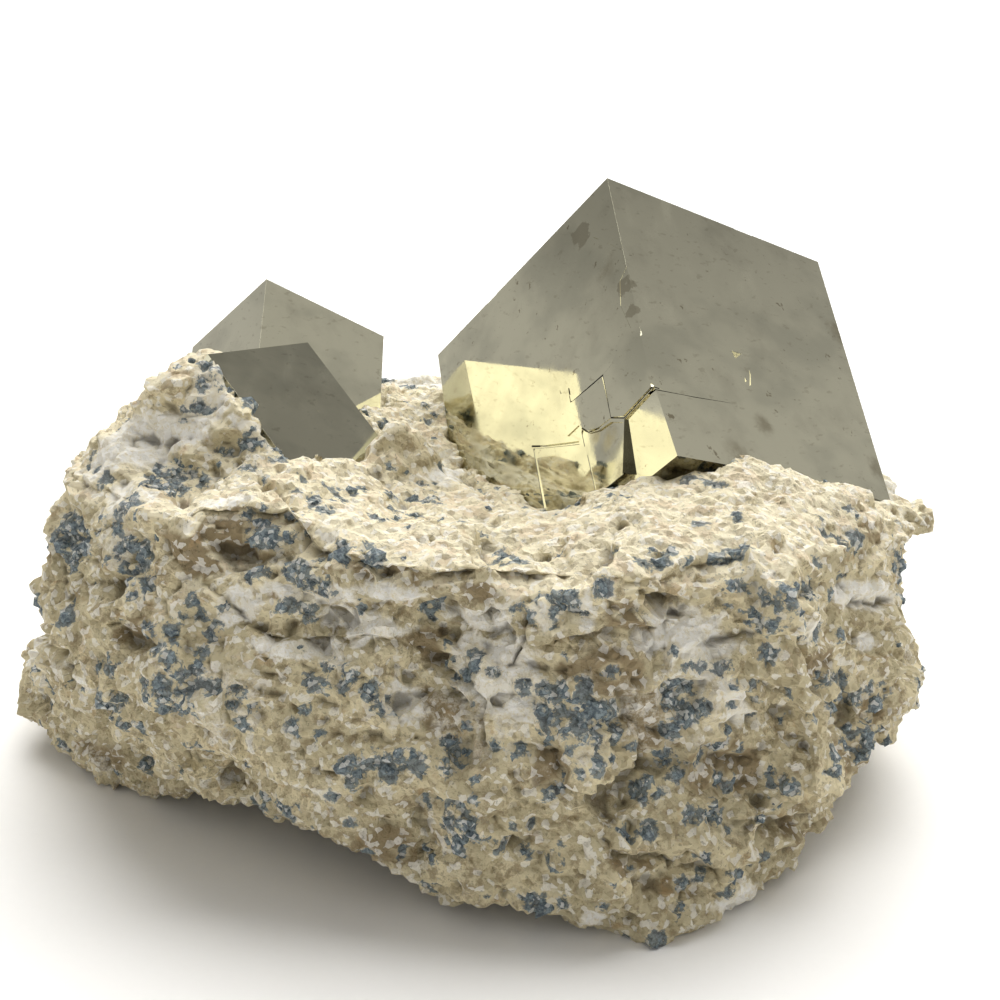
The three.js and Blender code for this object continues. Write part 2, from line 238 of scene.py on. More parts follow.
@dataclass
class Cells:
    """Points sorted into irregular cells, each round a centre of its own."""

    near: np.ndarray
    border: np.ndarray
    lot: np.ndarray
    offset: np.ndarray


def cellular(points: np.ndarray, size: float, seed: int) -> Cells:
    """Sorts points into irregular cells.

    Args:
        points: Places in millimetres, one in each row.
        size: The width of a cell in millimetres.
        seed: Chooses one of many patterns.

    Returns:
        For each point its distance to the cell's centre and beyond that to the next
        one, the cell's random lot from 0 to 1, and the step from the centre.
    """
    base = np.floor(points / size).astype(np.int64)
    near = np.full(len(points), np.inf)
    second = np.full(len(points), np.inf)
    lot = np.zeros(len(points))
    offset = np.zeros_like(points)
    for corner in np.ndindex(3, 3, 3):
        cell = base + np.array(corner) - 1
        jitter = np.stack([hashed(cell, seed + axis) for axis in range(3)], axis=1)
        step = points - (cell + jitter) * size
        distance = np.linalg.norm(step, axis=1)
        closer = distance < near
        second = np.where(closer, near, np.minimum(second, distance))
        lot = np.where(closer, hashed(cell, seed + 3), lot)
        offset[closer] = step[closer]
        near = np.where(closer, distance, near)
    return Cells(near, second - near, lot, offset)


def ramp(values: np.ndarray, low: float, high: float) -> np.ndarray:
    """Rises smoothly from 0 at low to 1 at high."""
    t = np.clip((values - low) / (high - low), 0, 1)
    return t * t * (3 - 2 * t)


@dataclass(frozen=True)
class Spot:
    """An oval patch on the stone, by its middle and half its size in the photograph's pixels."""

    x: float
    y: float
    wide: float
    high: float
    weight: float = 1.0
    fall: float = 0.0


@dataclass(frozen=True)
class Stroke:
    """A crack, ridge or lip on the stone, along a line of the photograph's pixels."""

    form: Form
    path: tuple[Pair, ...]
    width: float
    height: float


@dataclass(frozen=True)
class Lump:
    """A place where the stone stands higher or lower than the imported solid."""

    at: Triple
    reach: float
    height: float


class Outlook:
    """The photograph's view of the stone, in pixels and millimetres."""

    spot_edge: Pair = (0.5, 1.25)
    spot_depth: float = 25.0
    stroke_depth: Pair = (4.0, 9.0)
    lip_width: float = 4.0
    lip_underside: float = 0.6

    def __init__(self) -> None:
        """Sets up the view and the solid that it looks at."""
        pitch = math.radians(CAMERA_PITCH)
        self.eye = row_place(LARGE_APEX) + Vector(CAMERA_FROM_APEX)
        self.ahead = Vector((0, math.cos(pitch), -math.sin(pitch)))
        self.up = Vector((0, math.sin(pitch), math.cos(pitch)))
        self.scale = PHOTO_WIDTH * CAMERA_LENS / CAMERA_SENSOR
        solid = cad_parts[STONE_NODE].data
        corners = [vertex.co / MM for vertex in solid.vertices]
        self.solid = BVHTree.FromPolygons(corners, [tuple(face.vertices) for face in solid.polygons])

    def seen(self, points: np.ndarray) -> np.ndarray:
        """Looks at points.

        Args:
            points: Places in millimetres, one in each row.

        Returns:
            For each its pixel across and down, and how far ahead it lies in millimetres.
        """
        step = points - np.array(self.eye)
        ahead = step @ np.array(self.ahead)
        across = PHOTO_WIDTH / 2 + self.scale * step[:, 0] / ahead
        down = PHOTO_WIDTH / 2 - self.scale * (step @ np.array(self.up)) / ahead
        return np.stack([across, down, ahead], axis=1)

    def depth(self, x: float, y: float) -> float:
        """Measures how far ahead the stone lies at a pixel.

        Args:
            x: The pixel across.
            y: The pixel down.

        Returns:
            The distance in millimetres.
        """
        middle = PHOTO_WIDTH / 2
        ray = self.ahead * self.scale + self.up * (middle - y) + Vector((x - middle, 0, 0))
        hit = self.solid.ray_cast(self.eye, ray.normalized())[0]
        return self.eye.length if hit is None else (hit - self.eye).dot(self.ahead)

    def patchwork(self, seen: np.ndarray, spots: list[Spot]) -> np.ndarray:
        """How strongly each point lies in any of some patches.

        Args:
            seen: The points as they are seen.
            spots: The patches.

        Returns:
            A value from 0 outside all patches to about 1 in the middle of one.
        """
        total = np.zeros(len(seen))
        for spot in spots:
            turn = math.radians(spot.fall)
            x = seen[:, 0] - spot.x
            y = seen[:, 1] - spot.y
            z = (seen[:, 2] - self.depth(spot.x, spot.y)) * self.scale / seen[:, 2]
            along = (x * math.cos(turn) + y * math.sin(turn)) / spot.wide
            beside = (y * math.cos(turn) - x * math.sin(turn)) / spot.high
            deep = z / (1.5 * max(spot.wide, spot.high) + self.spot_depth)
            away = np.sqrt(along**2 + beside**2 + deep**2)
            total = np.maximum(total, spot.weight * (1 - ramp(away, *self.spot_edge)))
        return total

    def carve(self, seen: np.ndarray, stroke: Stroke) -> np.ndarray:
        """How far a stroke moves each point.

        Args:
            seen: The points as they are seen.
            stroke: The stroke.

        Returns:
            The height in millimetres, out of the stone, or towards the eye for a lip.
        """
        nearest = np.full(len(seen), np.inf)
        side = np.zeros(len(seen))
        deep = np.zeros(len(seen))
        for start, end in zip(stroke.path, stroke.path[1:]):
            run = np.array(end) - np.array(start)
            step = seen[:, :2] - np.array(start)
            share = np.clip(step @ run / (run @ run), 0, 1)
            off = step - share[:, None] * run
            away = np.linalg.norm(off, axis=1)
            depth = self.depth(*start) * (1 - share) + self.depth(*end) * share
            closer = away < nearest
            side = np.where(closer, run[0] * off[:, 1] - run[1] * off[:, 0], side)
            deep = np.where(closer, np.abs(seen[:, 2] - depth), deep)
            nearest = np.where(closer, away, nearest)
        share = np.exp(-((nearest / stroke.width) ** 2)) * (1 - ramp(deep, *self.stroke_depth))
        if stroke.form is Form.GROOVE:
            return -stroke.height * share
        if stroke.form is Form.RIDGE:
            return stroke.height * share
        below = np.sign(side) * ramp(nearest, 0.0, self.lip_width)
        return stroke.height * share * np.where(below > 0, -below, -self.lip_underside * below)


def combined(body: bpy.types.Object, tool: bpy.types.Object, how: Combine) -> None:
    """Joins a tool to a body or cuts it away, and removes the tool.

    Args:
        body: The solid that is changed.
        tool: The solid that is joined or cut away.
        how: Whether it is joined or cut away.
    """
    modifier = body.modifiers.new("combine", "BOOLEAN")
    modifier.operation = how.value
    modifier.solver = "EXACT"
    modifier.object = tool
    settle_modifiers(body)
    bpy.data.objects.remove(tool)


def settle_modifiers(body: bpy.types.Object) -> None:
    """Makes a body's mesh what its modifiers make of it.

    Args:
        body: The body, which loses its modifiers.
    """
    depsgraph = bpy.context.evaluated_depsgraph_get()
    made = bpy.data.meshes.new_from_object(body.evaluated_get(depsgraph))
    body.modifiers.clear()
    old = body.data
    body.data = made
    bpy.data.meshes.remove(old)


def new_object(name: str, mesh: bpy.types.Mesh) -> bpy.types.Object:
    """Puts a mesh into the scene as a named object.

    Args:
        name: The object's name.
        mesh: Its mesh.

    Returns:
        The object.
    """
    made = bpy.data.objects.new(name, mesh)
    bpy.context.scene.collection.objects.link(made)
    return made


def box_object(name: str, size: Triple, bevel: float) -> bpy.types.Object:
    """A block with its first corner at the origin and slightly broken edges.

    Args:
        name: The object's name.
        size: Its edges in millimetres.
        bevel: How much is taken off its edges, in millimetres.

    Returns:
        The block, in millimetres.
    """
    shape = bmesh.new()
    bmesh.ops.create_cube(shape, size=1.0)
    bmesh.ops.translate(shape, verts=shape.verts, vec=(0.5, 0.5, 0.5))
    bmesh.ops.scale(shape, verts=shape.verts, vec=size)
    bmesh.ops.bevel(shape, geom=shape.edges[:], offset=bevel, segments=1, affect="EDGES")
    mesh = bpy.data.meshes.new(name)
    shape.to_mesh(mesh)
    shape.free()
    return new_object(name, mesh)


def prism_object(floor: list[Vector], roof: list[Vector]) -> bpy.types.Object:
    """A closed prism between two outlines with the same number of corners.

    Args:
        floor: The corners of one end.
        roof: The corners of the other end, in the same order.

    Returns:
        The prism, with its faces turned outwards.
    """
    shape = bmesh.new()
    low = [shape.verts.new(corner) for corner in floor]
    high = [shape.verts.new(corner) for corner in roof]
    count = len(low)
    shape.faces.new(low)
    shape.faces.new(high)
    for n in range(count):
        after = (n + 1) % count
        shape.faces.new((low[n], low[after], high[after], high[n]))
    bmesh.ops.recalc_face_normals(shape, faces=shape.faces[:])
    mesh = bpy.data.meshes.new("prism")
    shape.to_mesh(mesh)
    shape.free()
    return new_object("prism", mesh)


@dataclass(frozen=True)
class Change:
    """A smooth change from one value to another while something goes from low to high."""

    low: float
    high: float
    start: float = 0.0
    end: float = 1.0


class Wiring:
    """Wires up a tree of nodes."""

    def __init__(self, tree: bpy.types.NodeTree) -> None:
        """Starts with an empty tree."""
        self.tree = tree
        tree.nodes.clear()

    def add(self, kind: str) -> bpy.types.Node:
        """Adds a node."""
        return self.tree.nodes.new(kind)

    def join(self, source: Socket, target: Socket) -> None:
        """Links two sockets."""
        self.tree.links.new(source, target)

    def feed(self, target: Socket, value: Union[Number, Tone]) -> None:
        """Links a socket to a value's socket, or sets it to a plain value.

        Args:
            target: The socket that is fed.
            value: A socket or a plain value.
        """
        if isinstance(value, Socket):
            self.join(value, target)
        else:
            target.default_value = value

    def sum(self, first: Number, second: Number, how: Sum = Sum.ADD) -> Socket:
        """Works out a sum of two values.

        Args:
            first: A socket or a number.
            second: A socket or a number.
            how: The kind of sum.

        Returns:
            The result's socket.
        """
        node = self.add("ShaderNodeMath")
        node.operation = how.value
        self.feed(node.inputs[0], first)
        self.feed(node.inputs[1], second)
        return node.outputs[0]

    def changed(self, value: Socket, change: Change) -> Socket:
        """Makes a change of a value.

        Args:
            value: The value's socket.
            change: The change.

        Returns:
            The result's socket.
        """
        node = self.add("ShaderNodeMapRange")
        node.interpolation_type = "SMOOTHSTEP"
        self.join(value, node.inputs["Value"])
        node.inputs["From Min"].default_value = change.low
        node.inputs["From Max"].default_value = change.high
        node.inputs["To Min"].default_value = change.start
        node.inputs["To Max"].default_value = change.end
        return node.outputs["Result"]

    def compared(self, how: Measure, first: Socket, second: Vector) -> Socket:
        """Compares two vectors.

        Args:
            how: How they are compared. The cosine is for directions of length 1.
            first: The socket of the first one.
            second: The second one.

        Returns:
            The result's socket.
        """
        node = self.add("ShaderNodeVectorMath")
        node.operation = how.value
        self.join(first, node.inputs[0])
        node.inputs[1].default_value = second
        return node.outputs["Value"]


class Recipe(Wiring):
    """Wires up the nodes of one material."""

    def __init__(self, name: str) -> None:
        """Starts a material with a bare surface and the object's own coordinates.

        Args:
            name: The material's name.
        """
        self.material = bpy.data.materials.new(name)
        self.material.use_nodes = True
        super().__init__(self.material.node_tree)
        self.surface = self.add("ShaderNodeBsdfPrincipled")
        output = self.add("ShaderNodeOutputMaterial")
        self.join(self.surface.outputs["BSDF"], output.inputs["Surface"])
        self.place = self.add("ShaderNodeTexCoord").outputs["Object"]

    def mask(self, name: str) -> Socket:
        """Reads one of the masks that the mesh carries.

        Args:
            name: The mask's name.

        Returns:
            The mask's socket.
        """
        node = self.add("ShaderNodeAttribute")
        node.attribute_name = name
        return node.outputs["Fac"]

    def rise(
        self, value: Socket, low: float, high: float, top: float = 1.0
    ) -> Socket:
        """Returns a share that rises from 0 where a value is low to top where it is high."""
        return self.changed(value, Change(low, high, 0.0, top))

    def stretched(self, stretch: Triple, turn: Triple) -> Socket:
        """The object's coordinates, stretched and turned.

        Args:
            stretch: The stretch along each axis.
            turn: The turn about each axis in degrees.

        Returns:
            The socket of the new coordinates.
        """
        node = self.add("ShaderNodeMapping")
        self.join(self.place, node.inputs["Vector"])
        node.inputs["Rotation"].default_value = [math.radians(angle) for angle in turn]
        node.inputs["Scale"].default_value = stretch
        return node.outputs["Vector"]

    def grain(
        self,
        size: float,
        detail: float = 3.0,
        roughness: float = 0.55,
        place: Optional[Socket] = None,
    ) -> Socket:
        """Noise from 0 to 1.

        Args:
            size: The width of its bumps in millimetres.
            detail: How many finer sizes are added.
            roughness: How strong the finer ones are.
            place: Coordinates other than the object's own.

        Returns:
            The noise's socket.
        """
        node = self.add("ShaderNodeTexNoise")
        self.join(place or self.place, node.inputs["Vector"])
        node.inputs["Scale"].default_value = 1 / (size * MM)
        node.inputs["Detail"].default_value = detail
        node.inputs["Roughness"].default_value = roughness
        return node.outputs["Fac"]

    def crumbs(self, size: float) -> Socket:
        """Angular crumbs, each at a height of its own from 0 to 1.

        Args:
            size: Their width in millimetres.

        Returns:
            The height's socket.
        """
        node = self.add("ShaderNodeTexVoronoi")
        self.join(self.place, node.inputs["Vector"])
        node.inputs["Scale"].default_value = 1 / (size * MM)
        parts = self.add("ShaderNodeSeparateColor")
        self.join(node.outputs["Color"], parts.inputs[0])
        return parts.outputs[0]

    def blend(self, share: Number, first: Colour, second: Colour) -> Socket:
        """Mixes two colours.

        Args:
            share: How much of the second there is.
            first: A colour or its socket.
            second: A colour or its socket.

        Returns:
            The mixed colour's socket.
        """
        node = self.add("ShaderNodeMix")
        node.data_type = "RGBA"
        self.feed(node.inputs[0], share)
        self.feed(node.inputs[6], first)
        self.feed(node.inputs[7], second)
        return node.outputs[2]

    def layered(self, base: Colour, layers: Iterable[tuple[Number, Colour]]) -> Colour:
        """Lays colours over one another.

        Args:
            base: The lowest colour or its socket.
            layers: Each further colour or its socket, after the share of it that shows.

        Returns:
            The mixed colour's socket.
        """
        for share, colour in layers:
            base = self.blend(share, base, colour)
        return base

    def bump(self, height: Socket, depth: float, under: Optional[Socket] = None) -> Socket:
        """Raises and sinks the surface.

        Args:
            height: The height's socket, from 0 to 1.
            depth: How far 1 stands above 0, in millimetres.
            under: The socket of a bump that this one is laid on.

        Returns:
            The socket of the changed normal.
        """
        node = self.add("ShaderNodeBump")
        node.inputs["Distance"].default_value = depth * MM
        self.feed(node.inputs["Height"], height)
        if under is not None:
            self.join(under, node.inputs["Normal"])
        return node.outputs["Normal"]

    def finish(self, colour: Colour, roughness: Number, normal: Socket) -> bpy.types.Material:
        """Sets the surface's colour, roughness and normal.

        Args:
            colour: A colour or its socket.
            roughness: A number or its socket.
            normal: The normal's socket.

        Returns:
            The material.
        """
        self.feed(self.surface.inputs["Base Color"], colour)
        self.feed(self.surface.inputs["Roughness"], roughness)
        self.join(normal, self.surface.inputs["Normal"])
        return self.material


def tone(red: float, green: float, blue: float) -> Tone:
    """Returns an opaque colour."""
    return (red, green, blue, 1.0)


@dataclass(frozen=True)
class Marl:
    """The stone's finish: pale marl with creamy, brownish, white and blue-grey parts.

    The creamy colour on its upward faces is partly painted light from above, the white on its
    upper left is partly painted light, and painted shade darkens its hollows and the place
    under its ledge.
    """

    khaki: Tone = tone(0.57, 0.50, 0.32)
    straw: Tone = tone(0.78, 0.69, 0.46)
    # Pale colour of upward faces, partly their own and partly painted light from above.
    cream_and_top_light: Tone = tone(0.92, 0.84, 0.62)
    peach: Tone = tone(0.76, 0.60, 0.42)
    umber: Tone = tone(0.30, 0.23, 0.125)
    ochre: Tone = tone(0.46, 0.31, 0.15)
    # Dark colour of fine dirt specks, also used as painted shade in the hollows.
    soil_and_shade: Tone = tone(0.075, 0.06, 0.035)
    chalk_and_light: Tone = tone(0.95, 0.93, 0.87)
    slate: Tone = tone(0.062, 0.086, 0.105)
    ash: Tone = tone(0.22, 0.27, 0.285)

    def material(self) -> bpy.types.Material:
        """Mixes the stone's colours and roughens its surface.

        Returns:
            The stone's material.
        """
        recipe = Recipe("marl")
        broad = recipe.grain(6.0, detail=5.0, roughness=0.6)
        middle = recipe.grain(1.5, detail=5.0, roughness=0.7)
        fine = recipe.grain(0.42, detail=4.0, roughness=0.75)
        stain = recipe.grain(2.3, detail=5.0, roughness=0.65)
        crumbs = recipe.crumbs(0.55)
        brown_and_shade = recipe.sum(recipe.mask("brown_and_shade"), recipe.sum(middle, 0.9, Sum.MULTIPLY))
        cream_and_top_light = recipe.sum(recipe.mask("cream_and_top_light"), recipe.sum(middle, 0.6, Sum.MULTIPLY))
        tint = recipe.grain(3.4, detail=5.0, roughness=0.65)
        warm = recipe.sum(tint, recipe.sum(cream_and_top_light, 0.12, Sum.MULTIPLY))
        grit = recipe.sum(recipe.rise(fine, 0.52, 0.64, 0.55), recipe.rise(crumbs, 0.62, 0.50, 0.25))
        nodules = self.nodules(recipe, fine)
        rims = recipe.sum(recipe.rise(recipe.mask("nodule"), -0.45, -0.12), nodules, Sum.SUBTRACT)
        layers = (
            (recipe.rise(broad, 0.40, 0.60), self.straw),
            (recipe.rise(middle, 0.50, 0.62, 0.75), self.umber),
            # Partly painted shade: under the ledge this darkening stands for its shadow.
            (recipe.rise(brown_and_shade, 0.62, 1.05, 0.92), self.umber),
            # Partly painted light: upward faces are painted paler than their own colour.
            (recipe.rise(cream_and_top_light, 0.55, 1.05, 0.92), self.cream_and_top_light),
            (recipe.rise(warm, 0.66, 0.78, 0.5), self.peach),
            (recipe.rise(stain, 0.58, 0.68, 0.55), self.ochre),
            (recipe.rise(crumbs, 0.78, 0.85, 0.6), self.chalk_and_light),
            (recipe.rise(crumbs, 0.22, 0.12, 0.4), self.umber),
            (recipe.rise(fine, 0.56, 0.66, 0.5), self.soil_and_shade),
            # Partly painted light: the white crusts also brighten a lit slope on the upper left.
            (self.chalk_and_light_share(recipe, middle, fine), recipe.blend(grit, self.chalk_and_light, self.straw)),
            # Painted shade: sunk places are darkened, where less light reaches.
            (recipe.rise(recipe.mask("hollow_shade"), 0.35, 1.1, 0.65), self.soil_and_shade),
            (recipe.sum(rims, 0.45, Sum.MULTIPLY), self.straw),
            (nodules, self.speckled(recipe, fine)),
        )
        colour = recipe.layered(self.khaki, layers)
        normal = recipe.bump(recipe.grain(0.9, detail=6.0, roughness=0.75), 0.30)
        normal = recipe.bump(crumbs, 0.12, normal)
        normal = recipe.bump(fine, 0.14, normal)
        return recipe.finish(colour, 0.9, normal)

    def grains(self) -> bpy.types.Material:
        """Mixes the colours of the blue-grey grains that stand out of the stone.

        Returns:
            The grains' material.
        """
        recipe = Recipe("blue_grains")
        fine = recipe.grain(0.35, detail=4.0, roughness=0.7)
        dust = recipe.rise(recipe.grain(0.9, detail=5.0, roughness=0.7), 0.55, 0.70, 0.6)
        colour = recipe.blend(dust, self.speckled(recipe, fine), self.straw)
        normal = recipe.bump(fine, 0.10)
        return recipe.finish(colour, 0.6, normal)

    def speckled(self, recipe: Recipe, fine: Socket) -> Socket:
        """Returns the socket of the grains' blue-grey, which fine noise mottles."""
        colour = recipe.blend(recipe.rise(fine, 0.40, 0.62), self.slate, self.ash)
        return recipe.blend(recipe.rise(recipe.crumbs(0.4), 0.84, 0.9, 0.5), colour, self.chalk_and_light)

    def chalk_and_light_share(
        self, recipe: Recipe, middle: Socket, fine: Socket
    ) -> Socket:
        """Returns the socket of how much white crust lies on the stone, with painted light on its lit
        upper left, broken up by two noises.
        """
        grit = recipe.sum(middle, recipe.sum(recipe.sum(fine, 0.1, Sum.SUBTRACT), 0.9, Sum.MULTIPLY))
        return recipe.rise(recipe.sum(recipe.mask("chalk_and_light"), grit), 0.98, 1.38, 0.95)

    def nodules(self, recipe: Recipe, fine: Socket) -> Socket:
        """Where the blue-grey grains are.

        Args:
            recipe: The material.
            fine: Fine noise, which frays the grains' edges.

        Returns:
            The socket of the share of blue-grey.
        """
        frayed = recipe.sum(recipe.sum(fine, 0.5, Sum.SUBTRACT), 1.2, Sum.MULTIPLY)
        wavy = recipe.sum(recipe.sum(recipe.grain(0.9), 0.5, Sum.SUBTRACT), 1.2, Sum.MULTIPLY)
        edge = recipe.sum(recipe.mask("nodule"), recipe.sum(frayed, wavy))
        return recipe.rise(edge, -0.08, 0.12, 0.88)


@dataclass(frozen=True)
class PyriteFace:
    """The crystals' finish: natural mirror faces of pale brassy grey, with painted dark reflections in a
    few places.
    """

    brass: Tone = tone(0.61, 0.585, 0.445)
    dull: Tone = tone(0.48, 0.455, 0.345)
    smoky: Tone = tone(0.40, 0.39, 0.30)
    # Dark rust colour, also used for painted dark reflections.
    rust_and_dark_reflection: Tone = tone(0.27, 0.235, 0.155)
    polish: float = 0.035
    haze: float = 0.13
    tarnish: tuple[tuple[Vector, float], ...] = ()
    # Places of painted dark reflection, each with its reach.
    patches: tuple[tuple[Vector, float], ...] = ()

    def material(self) -> bpy.types.Material:
        """Mixes the colours of the faces and dulls them in places.

        Returns:
            The crystals' material.
        """
        recipe = Recipe("pyrite")
        recipe.surface.inputs["Metallic"].default_value = 1.0
        cloud = recipe.grain(7.0, detail=5.0, roughness=0.6)
        across = recipe.stretched((1.0, 0.4, 0.4), (0.0, 35.0, 25.0))
        smear = recipe.grain(2.6, detail=5.0, place=across)
        speck = recipe.grain(0.35, detail=2.0)
        worn = recipe.sum(recipe.rise(cloud, 0.48, 0.75, 0.8), recipe.rise(speck, 0.70, 0.80, 0.5))
        slanting = recipe.stretched((0.45, 1.0, 1.3), (10.0, 42.0, 0.0))
        streak = recipe.grain(8.0, detail=3.0, place=slanting)
        thin = recipe.stretched((0.35, 1.2, 2.6), (0.0, 30.0, 10.0))
        scratch = recipe.grain(1.3, detail=3.0, place=thin)
        layers = (
            (worn, self.dull),
            (recipe.rise(streak, 0.46, 0.68, 0.5), self.smoky),
            (recipe.rise(scratch, 0.60, 0.72, 0.30), self.rust_and_dark_reflection),
        )
        colour = recipe.layered(self.brass, layers)
        roughness = recipe.sum(self.polish, recipe.rise(smear, 0.45, 0.78, self.haze))
        for place, reach in self.tarnish:
            near = self.nearness(recipe, place, reach)
            near = recipe.sum(near, recipe.rise(cloud, 0.30, 0.75, 1.6), Sum.MULTIPLY)
            stain = recipe.rise(near, 0.12, 0.9, 0.75)
            colour = recipe.blend(stain, colour, self.rust_and_dark_reflection)
            roughness = recipe.sum(roughness, recipe.sum(stain, 0.22, Sum.MULTIPLY))
        # Painted reflection: crisp dark places on the faces stand for dark things that they mirror.
        ragged = recipe.grain(1.4, detail=4.0, roughness=0.65)
        for place, reach in self.patches:
            near = recipe.sum(self.nearness(recipe, place, reach), 0.4, Sum.MULTIPLY)
            near = recipe.sum(near, ragged)
            colour = recipe.blend(recipe.rise(near, 0.66, 0.72, 0.55), colour, self.rust_and_dark_reflection)
        normal = recipe.bump(recipe.grain(11.0, detail=1.0), 0.03)
        normal = recipe.bump(speck, 0.0008, normal)
        return recipe.finish(colour, roughness, normal)

    def nearness(self, recipe: Recipe, place: Vector, reach: float) -> Socket:
        """Returns the socket of a value that is 1 at a place and falls to 0 within a reach."""
        away = recipe.compared(Measure.DISTANCE, recipe.place, place)
        return recipe.rise(away, reach * MM, 0.0)


@dataclass(frozen=True)
class Texture:
    """Rough noise over the stone's surface, in millimetres."""

    size: float
    height: float
    seed: int
    octaves: int

    def noise(self, points: np.ndarray) -> np.ndarray:
        """Returns the noise at each place, from -1 to 1."""
        return rough_noise(points, self.size, self.seed, self.octaves)


@dataclass(frozen=True)
class Break:
    """One size of the chunks that the stone's surface has broken into, in millimetres."""

    size: float
    height: float
    lean: float
    seed: int
    flatness: float = 1.35
    joint_width: float = 0.14
    joint_depth: float = 0.18


@dataclass
class MatrixStone:
    """The block of marl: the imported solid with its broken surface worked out."""

    chalk_and_light_spots: list[Spot]
    brown_and_shade_spots: list[Spot]
    blue_spots: list[Spot]
    pits: list[Spot]
    strokes: list[Stroke]
    lumps: list[Lump]
    voxel: float = 0.42
    quick_voxel: float = 0.9
    smoothing: int = 4
    most_triangles: int = 192000
    breaks: tuple[Break, ...] = (
        Break(4.8, 0.85, 0.34, 11),
        Break(2.3, 0.5, 0.42, 21),
        Break(1.2, 0.30, 0.45, 25),
    )
    coarse: Texture = Texture(3.0, 0.40, 31, 3)
    fine: Texture = Texture(0.9, 0.16, 41, 2)
    pit_depth: float = 1.6
    bed: float = 2.6
    bed_height: float = 0.16
    bed_sway: float = 1.1
    grit: float = 0.07
    hole_spacing: float = 2.8
    hole_depth: float = 0.75
    hole_share: float = 0.38
    clumped: float = 0.16
    scattered: float = 0.02
    grain_count: int = 2000
    grain_radius: Pair = (0.35, 0.62)
    grain_growth: float = 0.9
    grain_corners: Pair = (0.62, 1.22)
    grain_sides: Pair = (0.75, 1.15)
    grain_sunk: float = 0.62
    grain_reach: float = 1.15
    levelling: int = 10
    full_hollow: float = 0.5

    def build(self) -> list[bpy.types.Object]:
        """Builds the stone and its blue-grey grains, and dresses them.

        Returns:
            The finished pieces.
        """
        self.outlook = Outlook()
        stone = new_object("stone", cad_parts[STONE_NODE].data.copy())
        self.refine(stone)
        self.weather(stone.data)
        self.thin_out(stone)
        grains = self.grow_grains(stone.data)
        self.mark_all(stone.data)
        stone.data.shade_flat()
        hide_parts(STONE_NODE)
        finish = Marl()
        for piece, material in ((stone, finish.material()), (grains, finish.grains())):
            piece.data.materials.clear()
            piece.data.materials.append(material)
            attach(piece, "root")
        return [stone, grains]

    def refine(self, stone: bpy.types.Object) -> None:
        """Gives the stone an even, fine mesh without the solid's flat facets.

        Args:
            stone: The stone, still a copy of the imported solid.
        """
        remesh = stone.modifiers.new("even", "REMESH")
        remesh.mode = "VOXEL"
        remesh.voxel_size = MM * self.voxel
        soften = stone.modifiers.new("soften", "SMOOTH")
        soften.iterations = self.smoothing
        settle_modifiers(stone)

    def weather(self, mesh: bpy.types.Mesh) -> None:
        """Breaks up the stone's surface, and carves its cracks, ridges and lips.

        Args:
            mesh: The stone's mesh.
        """
        points, facing = self.surface(mesh)
        self.build_up(points)
        bent = points + 0.5 * self.warp(points, 2.0, Seed.CARVING.value)
        seen = self.outlook.seen(bent)
        push = self.relief(points, facing) - self.pit_depth * self.outlook.patchwork(seen, self.pits)
        lean = np.zeros(len(points))
        for stroke in self.strokes:
            moved = self.outlook.carve(seen, stroke)
            if stroke.form is Form.LIP:
                lean += moved
            else:
                push += moved
        points += facing * push[:, None]
        points[:, 1] -= lean
        points[:, 2] = np.maximum(points[:, 2], 0)
        mesh.vertices.foreach_set("co", (points * MM).ravel())
        mesh.update()

    def build_up(self, points: np.ndarray) -> None:
        """Raises or lowers the smooth form where the lumps say so.

        Args:
            points: The mesh's points in millimetres, which are moved.
        """
        for lump in self.lumps:
            away = np.linalg.norm(points - np.array(row_place(lump.at)), axis=1)
            upper = ramp(points[:, 2], lump.at[2] - 2 * lump.reach, lump.at[2] - lump.reach)
            points[:, 2] += lump.height * (1 - ramp(away, 0.0, lump.reach * 1.6)) * upper

    def surface(self, mesh: bpy.types.Mesh) -> tuple[np.ndarray, np.ndarray]:
        """Reads a mesh's points.

        Args:
            mesh: The mesh.

        Returns:
            The points in millimetres, and which way each one faces.
        """
        count = len(mesh.vertices)
        places = np.empty(count * 3)
        mesh.vertices.foreach_get("co", places)
        facing = np.empty(count * 3)
        mesh.vertex_normals.foreach_get("vector", facing)
        return places.reshape(-1, 3) / MM, facing.reshape(-1, 3)

    def thin_out(self, stone: bpy.types.Object) -> None:
        """Takes points out of the flattest parts of the mesh until it is light enough.

        Args:
            stone: The stone.
        """
        stone.data.calc_loop_triangles()
        count = len(stone.data.loop_triangles)
        if count > self.most_triangles:
            thin = stone.modifiers.new("thin", "DECIMATE")
            thin.ratio = self.most_triangles / count
            settle_modifiers(stone)

    def relief(self, points: np.ndarray, facing: np.ndarray) -> np.ndarray:
        """How far the broken surface stands out from the smooth form.

        Args:
            points: Places in millimetres, one in each row.
            facing: The surface's direction at each place.

        Returns:
            The height in millimetres.
        """
        calm = 1 - 0.5 * ramp(facing[:, 2], 0.5, 0.9)
        push = np.zeros(len(points))
        for chunk in self.breaks:
            self.break_up(push, points, calm, chunk)
        push += calm * self.coarse.height * self.coarse.noise(points)
        push += self.fine.height * self.fine.noise(points)
        level = points[:, 2] + self.bed_sway * smooth_noise(points, 7.0, Seed.BEDS.value)
        wave = np.abs(np.mod(level / self.bed, 1.0) - 0.5) * 4 - 1
        push += calm * self.bed_height * wave * (1 - facing[:, 2] ** 2)
        random = np.random.default_rng(Seed.GRIT.value)
        grit = random.uniform(-self.grit, self.grit, len(points))
        return push - self.holes(points) + grit

